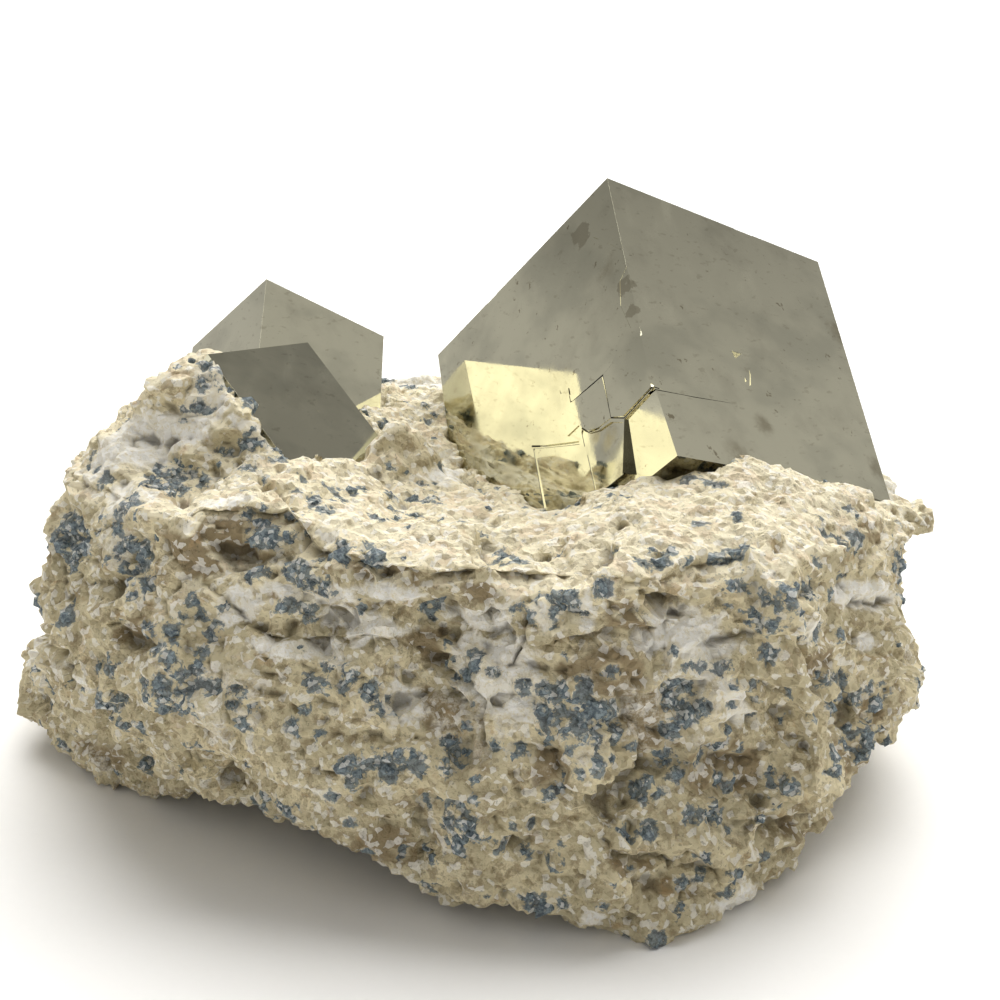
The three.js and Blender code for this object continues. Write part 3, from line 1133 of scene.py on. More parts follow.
    def break_up(self, push: np.ndarray, points: np.ndarray, calm: np.ndarray, chunk: Break) -> None:
        """Tilts and shifts the surface chunk by chunk, with joints between them.

        Args:
            push: How far each point is moved out, which is changed.
            points: Places in millimetres, one in each row.
            calm: How rough the surface may be at each point.
            chunk: The kind of chunk.
        """
        squashed = points * np.array([1.0, 1.0, chunk.flatness])
        bent = squashed + 0.5 * chunk.size * self.warp(points, chunk.size, chunk.seed)
        cells = cellular(bent, chunk.size, chunk.seed)
        lots = np.stack([cells.lot * 9973] * 3, axis=1).astype(np.int64)
        tilt = (hashed(lots, chunk.seed) - 0.5) * 2
        slope = chunk.lean * tilt * (cells.offset[:, 2] + cells.offset[:, 0]) * 0.7
        joint = ramp(cells.border, 0.0, chunk.joint_width * chunk.size)
        push += calm * ((cells.lot - 0.5) * chunk.height + slope) * (0.45 + 0.55 * joint)
        push -= chunk.joint_depth * chunk.height * (1 - joint)

    def warp(self, points: np.ndarray, size: float, seed: int) -> np.ndarray:
        """A gentle random step for each point, which bends straight joints."""
        return 0.5 * np.stack([smooth_noise(points, size, seed + 5 + n) for n in range(3)], axis=1)

    def holes(self, points: np.ndarray) -> np.ndarray:
        """How deep the small holes in the stone are.

        Args:
            points: Places in millimetres, one in each row.

        Returns:
            The depth at each place in millimetres.
        """
        cells = cellular(points, self.hole_spacing, Seed.HOLES.value)
        radius = 0.4 + 1.5 * cells.lot
        inside = 1 - ramp(cells.near, 0.35 * radius, radius)
        return np.where(cells.lot < self.hole_share, self.hole_depth * inside, 0.0)

    def crowd(self, points: np.ndarray) -> np.ndarray:
        """How crowded the blue-grey grains are.

        Args:
            points: Places in millimetres, one in each row.

        Returns:
            A value from 0 to 1 for each place.
        """
        ragged = points + 2.0 * self.warp(points, 3.0, Seed.CROWD.value)
        spots = self.outlook.patchwork(self.outlook.seen(ragged), self.blue_spots)
        clumps = smooth_noise(points, 4.5, Seed.CLUMPS.value)
        clumps = clumps + 0.5 * smooth_noise(points, 2.0, Seed.SMALL_CLUMPS.value)
        return np.clip(spots + self.clumped * ramp(clumps, 0.15, 0.8) + self.scattered, 0, 1)

    def grow_grains(self, mesh: bpy.types.Mesh) -> bpy.types.Object:
        """Sets angular blue-grey grains into the stone, most of them in clusters.

        Args:
            mesh: The stone's mesh.

        Returns:
            The grains, all in one piece.
        """
        points, facing = self.surface(mesh)
        count = self.grain_count
        random = np.random.default_rng(Seed.GRAINS.value)
        chance = self.crowd(points) * (facing[:, 2] > -0.8)
        chosen = random.choice(len(points), count, replace=False, p=chance / chance.sum())
        sizes = random.uniform(*self.grain_radius, count)
        sizes = sizes * (1 + self.grain_growth * random.random(count) ** 2)
        centres = points[chosen] - facing[chosen] * sizes[:, None] * self.grain_sunk
        ball, sides = self.ball()
        turns = np.linalg.qr(random.normal(size=(count, 3, 3)))[0]
        shapes = ball * random.uniform(*self.grain_corners, (count, len(ball), 1))
        shapes = shapes * random.uniform(*self.grain_sides, (count, 1, 3))
        shapes = np.einsum("nij,nkj->nki", turns, shapes) * sizes[:, None, None] + centres[:, None, :]
        shapes[:, :, 2] = np.maximum(shapes[:, :, 2], 0.02)
        faces = (sides[None] + np.arange(count)[:, None, None] * len(ball)).reshape(-1, 3)
        made = bpy.data.meshes.new("grains")
        made.from_pydata((shapes.reshape(-1, 3) * MM).tolist(), [], faces.tolist())
        made.update()
        self.centres = list(zip(centres.tolist(), sizes.tolist()))
        return new_object("grains", made)

    def ball(self) -> tuple[np.ndarray, np.ndarray]:
        """Makes the ball with twenty sides that each grain starts from.

        Returns:
            Its corners, and the three corners of each side.
        """
        shape = bmesh.new()
        bmesh.ops.create_icosphere(shape, subdivisions=1, radius=1.0)
        corners = np.array([vertex.co for vertex in shape.verts])
        sides = np.array([[vertex.index for vertex in face.verts] for face in shape.faces])
        shape.free()
        return corners, sides

    def mark_all(self, mesh: bpy.types.Mesh) -> None:
        """Marks where each kind of stone lies, and where light and shade are painted on it.

        Args:
            mesh: The stone's mesh.
        """
        points, facing = self.surface(mesh)
        ragged = points + 2.4 * self.warp(points, 4.5, Seed.SPOTS.value)
        ragged = ragged + 1.2 * self.warp(points, 1.4, Seed.SMALL_SPOTS.value)
        seen = self.outlook.seen(ragged)
        far_side = ramp(points[:, 1], -6, 8)
        cloud = smooth_noise(points, 9.0, Seed.CHALK.value)
        cloud = cloud + 0.5 * smooth_noise(points, 3.5, Seed.SMALL_CHALK.value)
        warm = smooth_noise(points, 8.0, Seed.BROWN.value)
        warm = warm + 0.5 * smooth_noise(points, 3.0, Seed.SMALL_BROWN.value)
        # Upward faces high on the stone: partly their own pale colour, partly painted light from above.
        top = ramp(facing[:, 2], 0.35, 0.8) * ramp(points[:, 2], 23, 26)
        # White crusts, with painted light on the upper left.
        chalk_and_light = self.outlook.patchwork(seen, self.chalk_and_light_spots)
        # Brownish places, with painted shade under the ledge.
        brown_and_shade = self.outlook.patchwork(seen, self.brown_and_shade_spots)
        self.mark(mesh, "cream_and_top_light", top)
        chalk_and_light = np.maximum(chalk_and_light, (0.25 + 0.55 * far_side) * ramp(cloud, 0.25, 0.9))
        brown_and_shade = np.maximum(brown_and_shade, (0.3 + 0.5 * far_side) * ramp(warm, 0.25, 0.9))
        self.mark(mesh, "chalk_and_light", chalk_and_light)
        self.mark(mesh, "brown_and_shade", brown_and_shade * (1 - top))
        # Painted shade: this mask darkens the sunk places.
        self.mark(mesh, "hollow_shade", self.hollows(mesh, points, facing))
        self.mark(mesh, "nodule", self.nodules(points))

    def nodules(self, points: np.ndarray) -> np.ndarray:
        """How deep each point lies within the reach of the nearest grain.

        Args:
            points: Places in millimetres, one in each row.

        Returns:
            The depth in millimetres, which is below 0 outside.
        """
        tree = KDTree(len(self.centres))
        for n, (centre, _) in enumerate(self.centres):
            tree.insert(centre, n)
        tree.balance()
        depth = np.empty(len(points))
        for n, point in enumerate(points.tolist()):
            _, nearest, away = tree.find(point)
            depth[n] = self.centres[nearest][1] * self.grain_reach - away
        return np.clip(depth, -1.5, 1.0)

    def hollows(self, mesh: bpy.types.Mesh, points: np.ndarray, facing: np.ndarray) -> np.ndarray:
        """How deep each point lies below the surface round it, which paints shade into the hollows.

        Args:
            mesh: The stone's mesh.
            points: The mesh's points in millimetres.
            facing: Which way each one faces.

        Returns:
            A value from 0 on the surface to 1 in the deepest cracks.
        """
        edges = np.empty(len(mesh.edges) * 2, dtype=np.int32)
        mesh.edges.foreach_get("vertices", edges)
        first, second = edges.reshape(-1, 2).T
        count = len(points)
        links = np.maximum(np.bincount(edges, minlength=count), 1)
        level = points.copy()
        for _ in range(self.levelling):
            for axis in range(3):
                total = np.bincount(first, level[second, axis], count)
                total += np.bincount(second, level[first, axis], count)
                level[:, axis] = total / links
        return np.clip(((level - points) * facing).sum(axis=1) / self.full_hollow, 0, 1)

    def mark(self, mesh: bpy.types.Mesh, name: str, values: np.ndarray) -> None:
        """Stores a mask on the mesh, with one value for each of its points."""
        mask = mesh.attributes.new(name, "FLOAT", "POINT")
        mask.data.foreach_set("value", values.astype(np.float32))


@dataclass(frozen=True)
class Block:
    """A block of the crystal's mosaic, which stands proud of a face or is sunk into it.

    Its surface is a plane, proud of the face by so much at its first corner, and it
    leans by a share of the way from there.
    """

    face: Face
    outline: tuple[Pair, ...]
    proud: float
    lean: Pair = (0.0, 0.0)
    root: float = 1.2


@dataclass(frozen=True)
class Crack:
    """A fine crack along a face, which narrows towards its end."""

    face: Face
    path: tuple[Pair, ...]
    width: float
    end_width: float
    depth: float


@dataclass
class CrystalBody:
    """A block with mirror faces, measured from one corner along its three edges."""

    name: str
    apex: Triple
    first: Triple
    second: Triple
    size: Triple
    edge: float = 0.005

    def place(self) -> Matrix:
        """Works out where the crystal lies.

        Returns:
            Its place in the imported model, in metres.
        """
        a = Vector(self.first).normalized()
        c = a.cross(Vector(self.second)).normalized()
        b = c.cross(a)
        turn = Matrix((a, b, c)).transposed().to_4x4()
        return Matrix.Scale(MM, 4) @ Matrix.Translation(row_place(self.apex)) @ turn

    def body(self) -> bpy.types.Object:
        """Returns the plain block with slightly broken edges, in millimetres."""
        return box_object(self.name, self.size, self.edge)

    def grow(self, body: bpy.types.Object, block: Block) -> None:
        """Adds a block of the mosaic to the crystal.

        Args:
            body: The crystal.
            block: The block.
        """
        roof = [self.on_face(block.face, corner, -self.height(block, corner)) for corner in block.outline]
        floor = [self.on_face(block.face, corner, block.root) for corner in block.outline]
        combined(body, prism_object(floor, roof), Combine.JOIN)

    def sink(self, body: bpy.types.Object, block: Block) -> None:
        """Sinks a part of a face, by as much as the block's surface lies below it.

        Args:
            body: The crystal.
            block: The sunk part.
        """
        floor = [self.on_face(block.face, corner, -self.height(block, corner)) for corner in block.outline]
        roof = [self.on_face(block.face, corner, -block.root) for corner in block.outline]
        combined(body, prism_object(floor, roof), Combine.CUT)

    def split(self, body: bpy.types.Object, crack: Crack) -> None:
        """Cuts a crack into the crystal.

        Args:
            body: The crystal.
            crack: The crack.
        """
        path = [Vector(point) for point in crack.path]
        count = len(path) - 1
        for n in range(count):
            along = (path[n + 1] - path[n]).normalized()
            across = Vector((-along.y, along.x))
            near = across * self.width_at(crack, n / count) / 2
            far = across * self.width_at(crack, (n + 1) / count) / 2
            start = path[n] - along * crack.width / 4
            end = path[n + 1] + along * crack.width / 4
            outline = [start - near, end - far, end + far, start + near]
            top = [self.on_face(crack.face, corner, -crack.width * 3) for corner in outline]
            deep = [self.on_face(crack.face, corner, crack.depth) for corner in outline]
            combined(body, prism_object(deep, top), Combine.CUT)

    def width_at(self, crack: Crack, share: float) -> float:
        """Returns a crack's width at a share of its length."""
        return crack.width + (crack.end_width - crack.width) * share

    def height(self, block: Block, corner: Pair) -> float:
        """Returns how far a block's surface stands proud of the face at a corner."""
        step = Vector(corner) - Vector(block.outline[0])
        return block.proud + block.lean[0] * step.x + block.lean[1] * step.y

    def on_face(self, face: Face, corner: Pair, depth: float) -> Vector:
        """A place on or below a face, measured along the crystal's edges.

        Args:
            face: The face.
            corner: Where it is on the face.
            depth: How deep it lies below the face.

        Returns:
            The place in millimetres.
        """
        x, y = corner
        if face is Face.LEFT:
            return Vector((x, depth, y))
        if face is Face.RIGHT:
            return Vector((depth, x, y))
        return Vector((x, y, depth))

    def dress(self, body: bpy.types.Object, finish: PyriteFace, node: str) -> None:
        """Puts a finished crystal in its place.

        Args:
            body: The crystal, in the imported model's place and in metres.
            finish: Its finish.
            node: The node that it stands for.
        """
        body.data.materials.clear()
        body.data.materials.append(finish.material())
        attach(body, "root")
        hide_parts(node)


@dataclass
class LargeCrystal:
    """The large cube, with the blocks, steps and cracks of its growth."""

    cube: CrystalBody
    grown: list[Block]
    sunk: list[Block]
    cracks: list[Crack]
    tarnish: list[tuple[Face, Pair, float]]
    # Places of painted dark reflection on the faces.
    patches: list[tuple[Face, Pair, float]]

    def build(self) -> list[bpy.types.Object]:
        """Builds the crystal and dresses it.

        Returns:
            The finished piece, in a list.
        """
        crystal = self.cube.body()
        for block in self.grown:
            self.cube.grow(crystal, block)
        for block in self.sunk:
            self.cube.sink(crystal, block)
        for crack in self.cracks:
            self.cube.split(crystal, crack)
        crystal.data.transform(self.cube.place())
        finish = PyriteFace(tarnish=self.placed(self.tarnish), patches=self.placed(self.patches))
        self.cube.dress(crystal, finish, LARGE_NODE)
        return [crystal]

    def placed(self, marks: list[tuple[Face, Pair, float]]) -> tuple[tuple[Vector, float], ...]:
        """Returns where marks on the faces lie in metres, each with its reach."""
        place = self.cube.place()
        return tuple((place @ self.cube.on_face(face, at, 0), reach) for face, at, reach in marks)


@dataclass
class SmallCrystals:
    """The two small cubes, which have grown into each other."""

    front: CrystalBody
    rear: CrystalBody
    marks: list[Block]

    def build(self) -> list[bpy.types.Object]:
        """Builds the pair and dresses it.

        Returns:
            The finished piece, in a list.
        """
        pair = self.front.body()
        for mark in self.marks:
            self.front.sink(pair, mark)
        pair.data.transform(self.front.place())
        rear = self.rear.body()
        rear.data.transform(self.rear.place())
        combined(pair, rear, Combine.JOIN)
        pair.name = "small_cubes"
        self.front.dress(pair, PyriteFace(haze=0.10), SMALL_NODE)
        return [pair]


@dataclass(frozen=True)
class Glow:
    """A change in the room's light round one direction, over the cosine of the angle to it."""

    towards: Triple
    change: Change


@dataclass(frozen=True)
class Walls:
    """How bright the room's walls are, by the direction that they are seen in."""

    low_down: Change = Change(0.085, 0.13, 0.55, 0.0)
    half_way: Change = Change(0.17, 0.27, 0.26, 0.0)
    to_the_right: Change = Change(-0.2, 0.8, 0.33, 0.57)
    to_the_back: Change = Change(-0.75, 0.15, 0.5, 1.0)
    dim_place: Glow = Glow((0.44, 0.70, 0.56), Change(0.88, 0.985, 1.0, 0.54))


class RoomLight(Wiring):
    """Wires up how bright the room is in each direction."""

    def __init__(self, tree: bpy.types.NodeTree) -> None:
        """Starts with an empty tree and the direction that is looked in."""
        super().__init__(tree)
        self.direction = self.add("ShaderNodeTexCoord").outputs["Generated"]

    def near(self, glow: Glow) -> Socket:
        """Returns a glow's brightness."""
        cosine = self.compared(Measure.COSINE, self.direction, Vector(glow.towards).normalized())
        return self.changed(cosine, glow.change)

    def walls(self, walls: Walls) -> Socket:
        """Lights the walls, white low down and dim in front.

        Args:
            walls: How bright they are.

        Returns:
            The socket of their brightness.
        """
        parts = self.add("ShaderNodeSeparateXYZ")
        self.join(self.direction, parts.inputs[0])
        height = parts.outputs["Z"]
        glow = self.sum(self.changed(height, walls.low_down), self.changed(height, walls.half_way))
        glow = self.sum(glow, self.changed(parts.outputs["X"], walls.to_the_right))
        glow = self.sum(glow, self.changed(parts.outputs["Y"], walls.to_the_back), Sum.MULTIPLY)
        return self.sum(glow, self.near(walls.dim_place), Sum.MULTIPLY)

    def finish(self, mirrored: Socket, shed: Socket, colour: Tone) -> None:
        """Lights the room, and shows white paper behind the specimen to the camera.

        Args:
            mirrored: The socket of the brightness that the mirror faces show.
            shed: The socket of the brightness that falls on the stone and the floor.
            colour: The light's colour.
        """
        path = self.add("ShaderNodeLightPath")
        paper = self.panel(tone(1.0, 1.0, 1.0), PAPER_GLOW)
        soft = self.panel(colour, shed)
        room = self.choice(path.outputs["Is Glossy Ray"], soft, self.panel(colour, mirrored))
        shown = self.choice(path.outputs["Is Camera Ray"], room, paper)
        self.join(shown, self.add("ShaderNodeOutputWorld").inputs["Surface"])

    def panel(self, colour: Tone, strength: Number) -> Socket:
        """Makes plain light of a colour.

        Args:
            colour: The colour.
            strength: A socket or a number.

        Returns:
            The light's socket.
        """
        node = self.add("ShaderNodeBackground")
        node.inputs["Color"].default_value = colour
        self.feed(node.inputs["Strength"], strength)
        return node.outputs[0]

    def choice(
        self, asked: Socket, plain: Socket, other: Socket
    ) -> Socket:
        """Chooses between two lights.

        Args:
            asked: The socket that tells the kind of ray that is asked for.
            plain: The light for all other rays.
            other: The light for that kind of ray.

        Returns:
            The socket of the chosen light.
        """
        node = self.add("ShaderNodeMixShader")
        for place, socket in enumerate((asked, plain, other)):
            self.join(socket, node.inputs[place])
        return node.outputs[0]


@dataclass
class Studio:
    """The camera, the pale floor and the soft light of a white room."""

    floor_width: float = 4.0
    walls: Walls = Walls()
    ceiling: Glow = Glow((0.0, -0.15, 0.985), Change(0.86, 0.92, 0.0, 2.7))
    window: Glow = Glow((0.10, 0.62, 0.78), Change(0.74, 0.84, 0.0, 3.9))
    least_light: float = 0.42

    def build(self) -> None:
        """Sets up the camera, the floor and the light."""
        self.camera()
        self.floor()
        self.room()
        bpy.context.scene.view_settings.view_transform = "Standard"

    def camera(self) -> None:
        """Places the camera where the large crystal's centre edge faces it."""
        lens = bpy.data.cameras.new("camera")
        lens.lens = CAMERA_LENS
        lens.sensor_width = CAMERA_SENSOR
        lens.clip_start = NEAREST_SEEN
        camera = bpy.data.objects.new("camera", lens)
        bpy.context.scene.collection.objects.link(camera)
        apex = row_place(LARGE_APEX)
        camera.location = (apex + Vector(CAMERA_FROM_APEX)) * MM
        camera.rotation_euler = (math.radians(90 - CAMERA_PITCH), 0, 0)
        bpy.context.scene.camera = camera

    def floor(self) -> None:
        """Lays a plain pale floor under the specimen."""
        shape = bmesh.new()
        bmesh.ops.create_grid(shape, x_segments=1, y_segments=1, size=self.floor_width / 2)
        mesh = bpy.data.meshes.new("floor")
        shape.to_mesh(mesh)
        shape.free()
        floor = new_object("floor", mesh)
        recipe = Recipe("pale_floor")
        speckle = recipe.grain(0.8, detail=2.0)
        colour = recipe.blend(speckle, tone(0.93, 0.925, 0.915), tone(0.95, 0.945, 0.935))
        floor.data.materials.append(recipe.finish(colour, 0.7, recipe.bump(speckle, 0.01)))

    def room(self) -> None:
        """Surrounds the specimen with a grey room under one wide soft ceiling light."""
        world = bpy.data.worlds.new("room")
        bpy.context.scene.world = world
        world.use_nodes = True
        light = RoomLight(world.node_tree)
        walls = light.walls(self.walls)
        mirrored = light.sum(walls, light.near(self.ceiling))
        shed = light.sum(light.sum(walls, self.least_light, Sum.MAXIMUM), light.near(self.window))
        light.finish(mirrored, shed, tone(1.0, 0.99, 0.965))


# Where white crusts, brownish places, blue-grey grains and pits lie on the stone's front. Some white is
# painted light on a lit slope, and some brownish places are painted shade under the ledge.
CHALK_AND_LIGHT_SPOTS = [
    # Partly painted light: these two whiten the upper left, a slope that the light falls on, over whitish
    # stone.
    Spot(135, 448, 34, 24, 1.2),
    Spot(175, 425, 44, 22, 0.75),
    Spot(100, 470, 20, 30, 0.6),
    Spot(203, 395, 20, 38, 0.8),
    Spot(255, 436, 44, 9, 1.0, 37),
    Spot(130, 500, 22, 18, 0.9),
    Spot(125, 550, 24, 20, 0.55),
    Spot(376, 452, 20, 12, 1.2),
    Spot(415, 450, 38, 26, 0.7),
    Spot(228, 505, 32, 5, 1.1),
    Spot(305, 592, 46, 9, 1.2, 8),
    Spot(395, 591, 52, 6, 1.1),
    Spot(246, 606, 21, 14, 1.4),
    Spot(367, 625, 58, 11, 1.1, 14),
    Spot(485, 618, 38, 10, 1.2, 5),
    Spot(305, 645, 50, 13, 0.8),
    Spot(408, 706, 24, 16, 1.0),
    Spot(480, 660, 20, 26, 0.9),
    Spot(42, 645, 9, 22, 1.1),
    Spot(80, 688, 9, 15, 1.1),
    Spot(222, 781, 26, 4, 1.0),
    Spot(325, 803, 28, 6, 1.1, 35),
    Spot(541, 618, 9, 13, 1.1),
    Spot(601, 588, 6, 12, 1.2),
    Spot(577, 612, 10, 18, 0.8),
    Spot(505, 680, 36, 44, 1.0),
    Spot(520, 716, 14, 12, 1.3),
    Spot(690, 632, 34, 36, 1.0),
    Spot(715, 660, 32, 24, 1.1),
    Spot(744, 702, 32, 12, 1.3, 42),
    Spot(652, 638, 20, 14, 0.7),
    Spot(870, 490, 38, 14, 0.7),
    Spot(868, 597, 42, 18, 1.0),
    Spot(812, 630, 16, 12, 0.9),
    Spot(864, 640, 12, 10, 0.9),
    Spot(737, 905, 36, 12, 1.2, -20),
    Spot(599, 924, 12, 6, 1.1),
    Spot(640, 468, 42, 8, 0.9),
    Spot(450, 475, 24, 12, 0.8),
]

BROWN_AND_SHADE_SPOTS = [
    # Partly painted shade: the first two lie under the ledge and darken it for its shadow, over brownish
    # stone.
    Spot(228, 545, 70, 32, 0.9),
    Spot(375, 568, 62, 13, 1.1, 8),
    Spot(500, 590, 36, 12, 1.0),
    Spot(133, 641, 24, 16, 1.1),
    Spot(220, 632, 24, 16, 0.6),
    Spot(432, 655, 22, 22, 1.0),
    Spot(455, 712, 32, 26, 0.8),
    Spot(630, 613, 40, 13, 0.8),
    Spot(600, 668, 50, 34, 0.8),
    Spot(648, 720, 44, 44, 0.7),
    Spot(722, 770, 50, 32, 1.1),
    Spot(548, 765, 20, 28, 0.7),
    Spot(642, 864, 26, 8, 0.9),
    Spot(668, 896, 24, 10, 0.8),
    Spot(822, 665, 26, 20, 0.9),
    Spot(870, 711, 16, 14, 1.0),
    Spot(862, 522, 26, 20, 0.6),
    Spot(385, 842, 38, 28, 0.8),
    Spot(98, 752, 32, 16, 0.7),
    Spot(790, 832, 10, 20, 0.9),
    Spot(845, 750, 30, 22, 0.6),
]

BLUE_SPOTS = [
    Spot(180, 482, 28, 17),
    Spot(236, 442, 22, 15),
    Spot(280, 452, 16, 13),
    Spot(75, 540, 18, 32),
    Spot(130, 562, 28, 24, 0.9),
    Spot(272, 528, 32, 20, 0.7),
    Spot(372, 563, 9, 10, 1.0),
    Spot(325, 498, 24, 20, 0.45),
    Spot(425, 492, 20, 24, 0.4),
    Spot(195, 405, 20, 12, 0.4),
    Spot(297, 571, 12, 9, 0.7),
    Spot(436, 612, 16, 14, 0.7),
    Spot(192, 610, 13, 14, 0.8),
    Spot(295, 606, 12, 8, 0.8),
    Spot(150, 629, 9, 9, 0.7),
    Spot(100, 665, 15, 7, 0.9),
    Spot(177, 692, 32, 26),
    Spot(243, 695, 9, 25, 0.6),
    Spot(330, 672, 18, 14, 0.8),
    Spot(373, 691, 16, 17),
    Spot(403, 757, 28, 9),
    Spot(455, 760, 22, 19, 0.8),
    Spot(298, 722, 12, 8, 0.7),
    Spot(360, 773, 24, 10, 0.8),
    Spot(463, 836, 30, 21, 0.7),
    Spot(118, 712, 22, 14, 0.4),
    Spot(503, 555, 16, 9, 0.7),
    Spot(567, 605, 22, 18),
    Spot(655, 562, 11, 8, 0.9),
    Spot(720, 564, 20, 8, 0.9),
    Spot(746, 544, 18, 7, 0.6),
    Spot(763, 622, 24, 42, 0.5),
    Spot(806, 590, 12, 16, 1.0),
    Spot(850, 696, 42, 24, 0.45),
    Spot(856, 742, 26, 17, 0.6),
    Spot(572, 712, 36, 28),
    Spot(678, 694, 25, 12, 0.9),
    Spot(515, 750, 28, 11),
    Spot(684, 662, 12, 9, 0.8),
    Spot(580, 766, 17, 9),
    Spot(650, 793, 18, 14),
    Spot(548, 790, 15, 12, 0.8),
    Spot(647, 829, 15, 11, 0.9),
    Spot(710, 808, 22, 12, 0.7),
    Spot(738, 832, 8, 12, 0.8),
    Spot(711, 858, 8, 9, 0.9),
    Spot(689, 905, 8, 10, 0.9),
    Spot(543, 904, 22, 9, 0.8),
    Spot(781, 853, 7, 9, 0.9),
]

PITS = [
    Spot(240, 550, 20, 13, 0.7),
    Spot(182, 497, 12, 5, 0.8),
    Spot(268, 486, 8, 5, 0.8),
    Spot(133, 641, 18, 11, 0.8),
    Spot(432, 660, 10, 11, 0.9),
    Spot(647, 595, 9, 5, 0.9),
    Spot(661, 604, 7, 4, 0.8),
    Spot(640, 614, 7, 4, 0.8),
    Spot(673, 614, 8, 5, 0.8),
    Spot(372, 577, 18, 6, 0.6),
    Spot(548, 765, 12, 20, 0.4),
    Spot(722, 775, 36, 24, 0.4),
    Spot(806, 640, 6, 14, 0.7),
    Spot(620, 858, 16, 6, 0.5),
]

# Low banks against the small cubes, and a lowered place on the skyline beside them.
LUMPS = [
    Lump((-24.0, 14.0, 36.0), 3.8, 4.5),
    Lump((-20.5, 15.5, 33.0), 2.8, 3.2),
    Lump((-9.8, 0.5, 31.0), 3.2, 3.9),
    Lump((-14.0, -5.0, 31.0), 3.0, 1.4),
    Lump((-26.0, -5.0, 40.3), 1.6, 0.5),
    Lump((-23.6, -6.8, 37.6), 1.6, 0.5),
    Lump((-21.2, -8.4, 35.0), 1.6, 0.7),
    Lump((-31.5, -2.0, 42.0), 3.5, -1.6),
    Lump((-36.5, -1.0, 39.0), 4.5, -2.0),
]

# The cracks, ridges and lips of the stone's front.
STROKES = [
    Stroke(
        Form.LIP,
        ((198, 509), (252, 510), (288, 513), (306, 528), (314, 545), (363, 558), (429, 575),
         (465, 568), (557, 575)),
        12.0,
        1.2,
    ),
    Stroke(Form.LIP, ((596, 579), (653, 579), (701, 560), (736, 557)), 10.0, 0.7),
    Stroke(Form.LIP, ((556, 640), (586, 632), (628, 624), (656, 622)), 11.0, 1.0),
    Stroke(Form.RIDGE, ((210, 596), (240, 588), (270, 586), (348, 594), (435, 591)), 7.0, 0.6),
    Stroke(Form.LIP, ((264, 636), (330, 637), (372, 634), (420, 645)), 9.0, 0.8),
    Stroke(Form.GROOVE, ((437, 672), (461, 688), (481, 699), (484, 735)), 2.6, 1.6),
    Stroke(Form.GROOVE, ((256, 477), (279, 492), (296, 506)), 2.8, 1.0),
    Stroke(Form.GROOVE, ((45, 632), (69, 659), (92, 694), (102, 734), (129, 758), (152, 777)), 6.0, 1.3),
    Stroke(Form.GROOVE, ((526, 612), (521, 644), (509, 664)), 3.4, 1.0),
    Stroke(
        Form.RIDGE,
        ((749, 558), (768, 583), (791, 606), (797, 663), (808, 712), (819, 765), (810, 806)),
        7.0,
        0.9,
    ),
    Stroke(Form.GROOVE, ((803, 600), (806, 640), (818, 690)), 7.0, 0.8),
    Stroke(Form.RIDGE, ((522, 742), (528, 791), (521, 836)), 4.0, 0.45),
    Stroke(Form.RIDGE, ((571, 794), (598, 822), (622, 848)), 3.6, 0.4),
    Stroke(Form.RIDGE, ((330, 724), (362, 712), (400, 735), (432, 752)), 4.0, 0.45),
    Stroke(Form.RIDGE, ((620, 848), (700, 846), (745, 852), (762, 826)), 5.0, 0.5),
    Stroke(Form.GROOVE, ((618, 858), (664, 862), (720, 872)), 4.0, 0.7),
    Stroke(Form.LIP, ((110, 700), (170, 735), (250, 760), (330, 772)), 9.0, 0.6),
]

# The blocks that have grown on the large crystal's faces, measured from its apex: a
# towards the left, b towards the right and c down the centre edge.
GROWN_BLOCKS = [
    Block(
        Face.RIGHT,
        ((0.1, 26.1), (4.9, 25.7), (9.8, 25.0), (10.7, 26.2), (17.5, 26.0), (19.7, 28.5), (20.1, 31.5),
         (1.1, 33.2)),
        0.07,
        (0.004, 0.0),
        8.0,
    ),
    Block(
        Face.LEFT,
        ((-0.01, 19.7), (2.0, 17.9), (3.1, 18.6), (4.4, 20.1), (6.0, 20.4), (6.1, 25.4), (4.5, 26.3),
         (-0.01, 25.8)),
        0.10,
        (0.004, -0.002),
    ),
    Block(
        Face.LEFT,
        ((6.3, 20.6), (11.2, 20.4), (11.3, 18.6), (12.4, 18.5), (12.5, 17.5), (12.9, 20.8), (12.7, 23.5),
         (10.8, 23.4), (9.7, 24.7), (8.2, 25.3), (6.2, 25.4)),
        0.07,
        (0.010, -0.006),
    ),
    Block(Face.RIGHT, ((12.0, 18.0), (12.4, 18.3), (12.8, 18.4), (12.5, 18.2)), 0.01, (0.3, 0.4), 0.3),
    Block(Face.RIGHT, ((13.8, 19.8), (13.9, 20.4), (13.4, 21.8), (13.8, 20.4)), 0.01, (0.3, 0.1), 0.3),
    Block(Face.RIGHT, ((12.9, 21.0), (13.0, 21.2), (12.9, 21.5)), 0.01, (0.3, 0.2), 0.3),
    Block(Face.BACK, ((8.0, 30.1), (9.5, 21.0), (21.0, 20.0), (24.0, 30.1)), 0.12, (0.002, 0.003)),
    Block(Face.BACK, ((32.5, 4.0), (26.0, 5.0), (24.5, 13.0), (32.5, 14.0)), 0.16, (0.003, 0.002)),
    Block(Face.BACK, ((10.0, 8.0), (17.0, 7.0), (18.5, 13.0), (12.0, 15.5)), 0.07, (0.003, -0.003)),
]

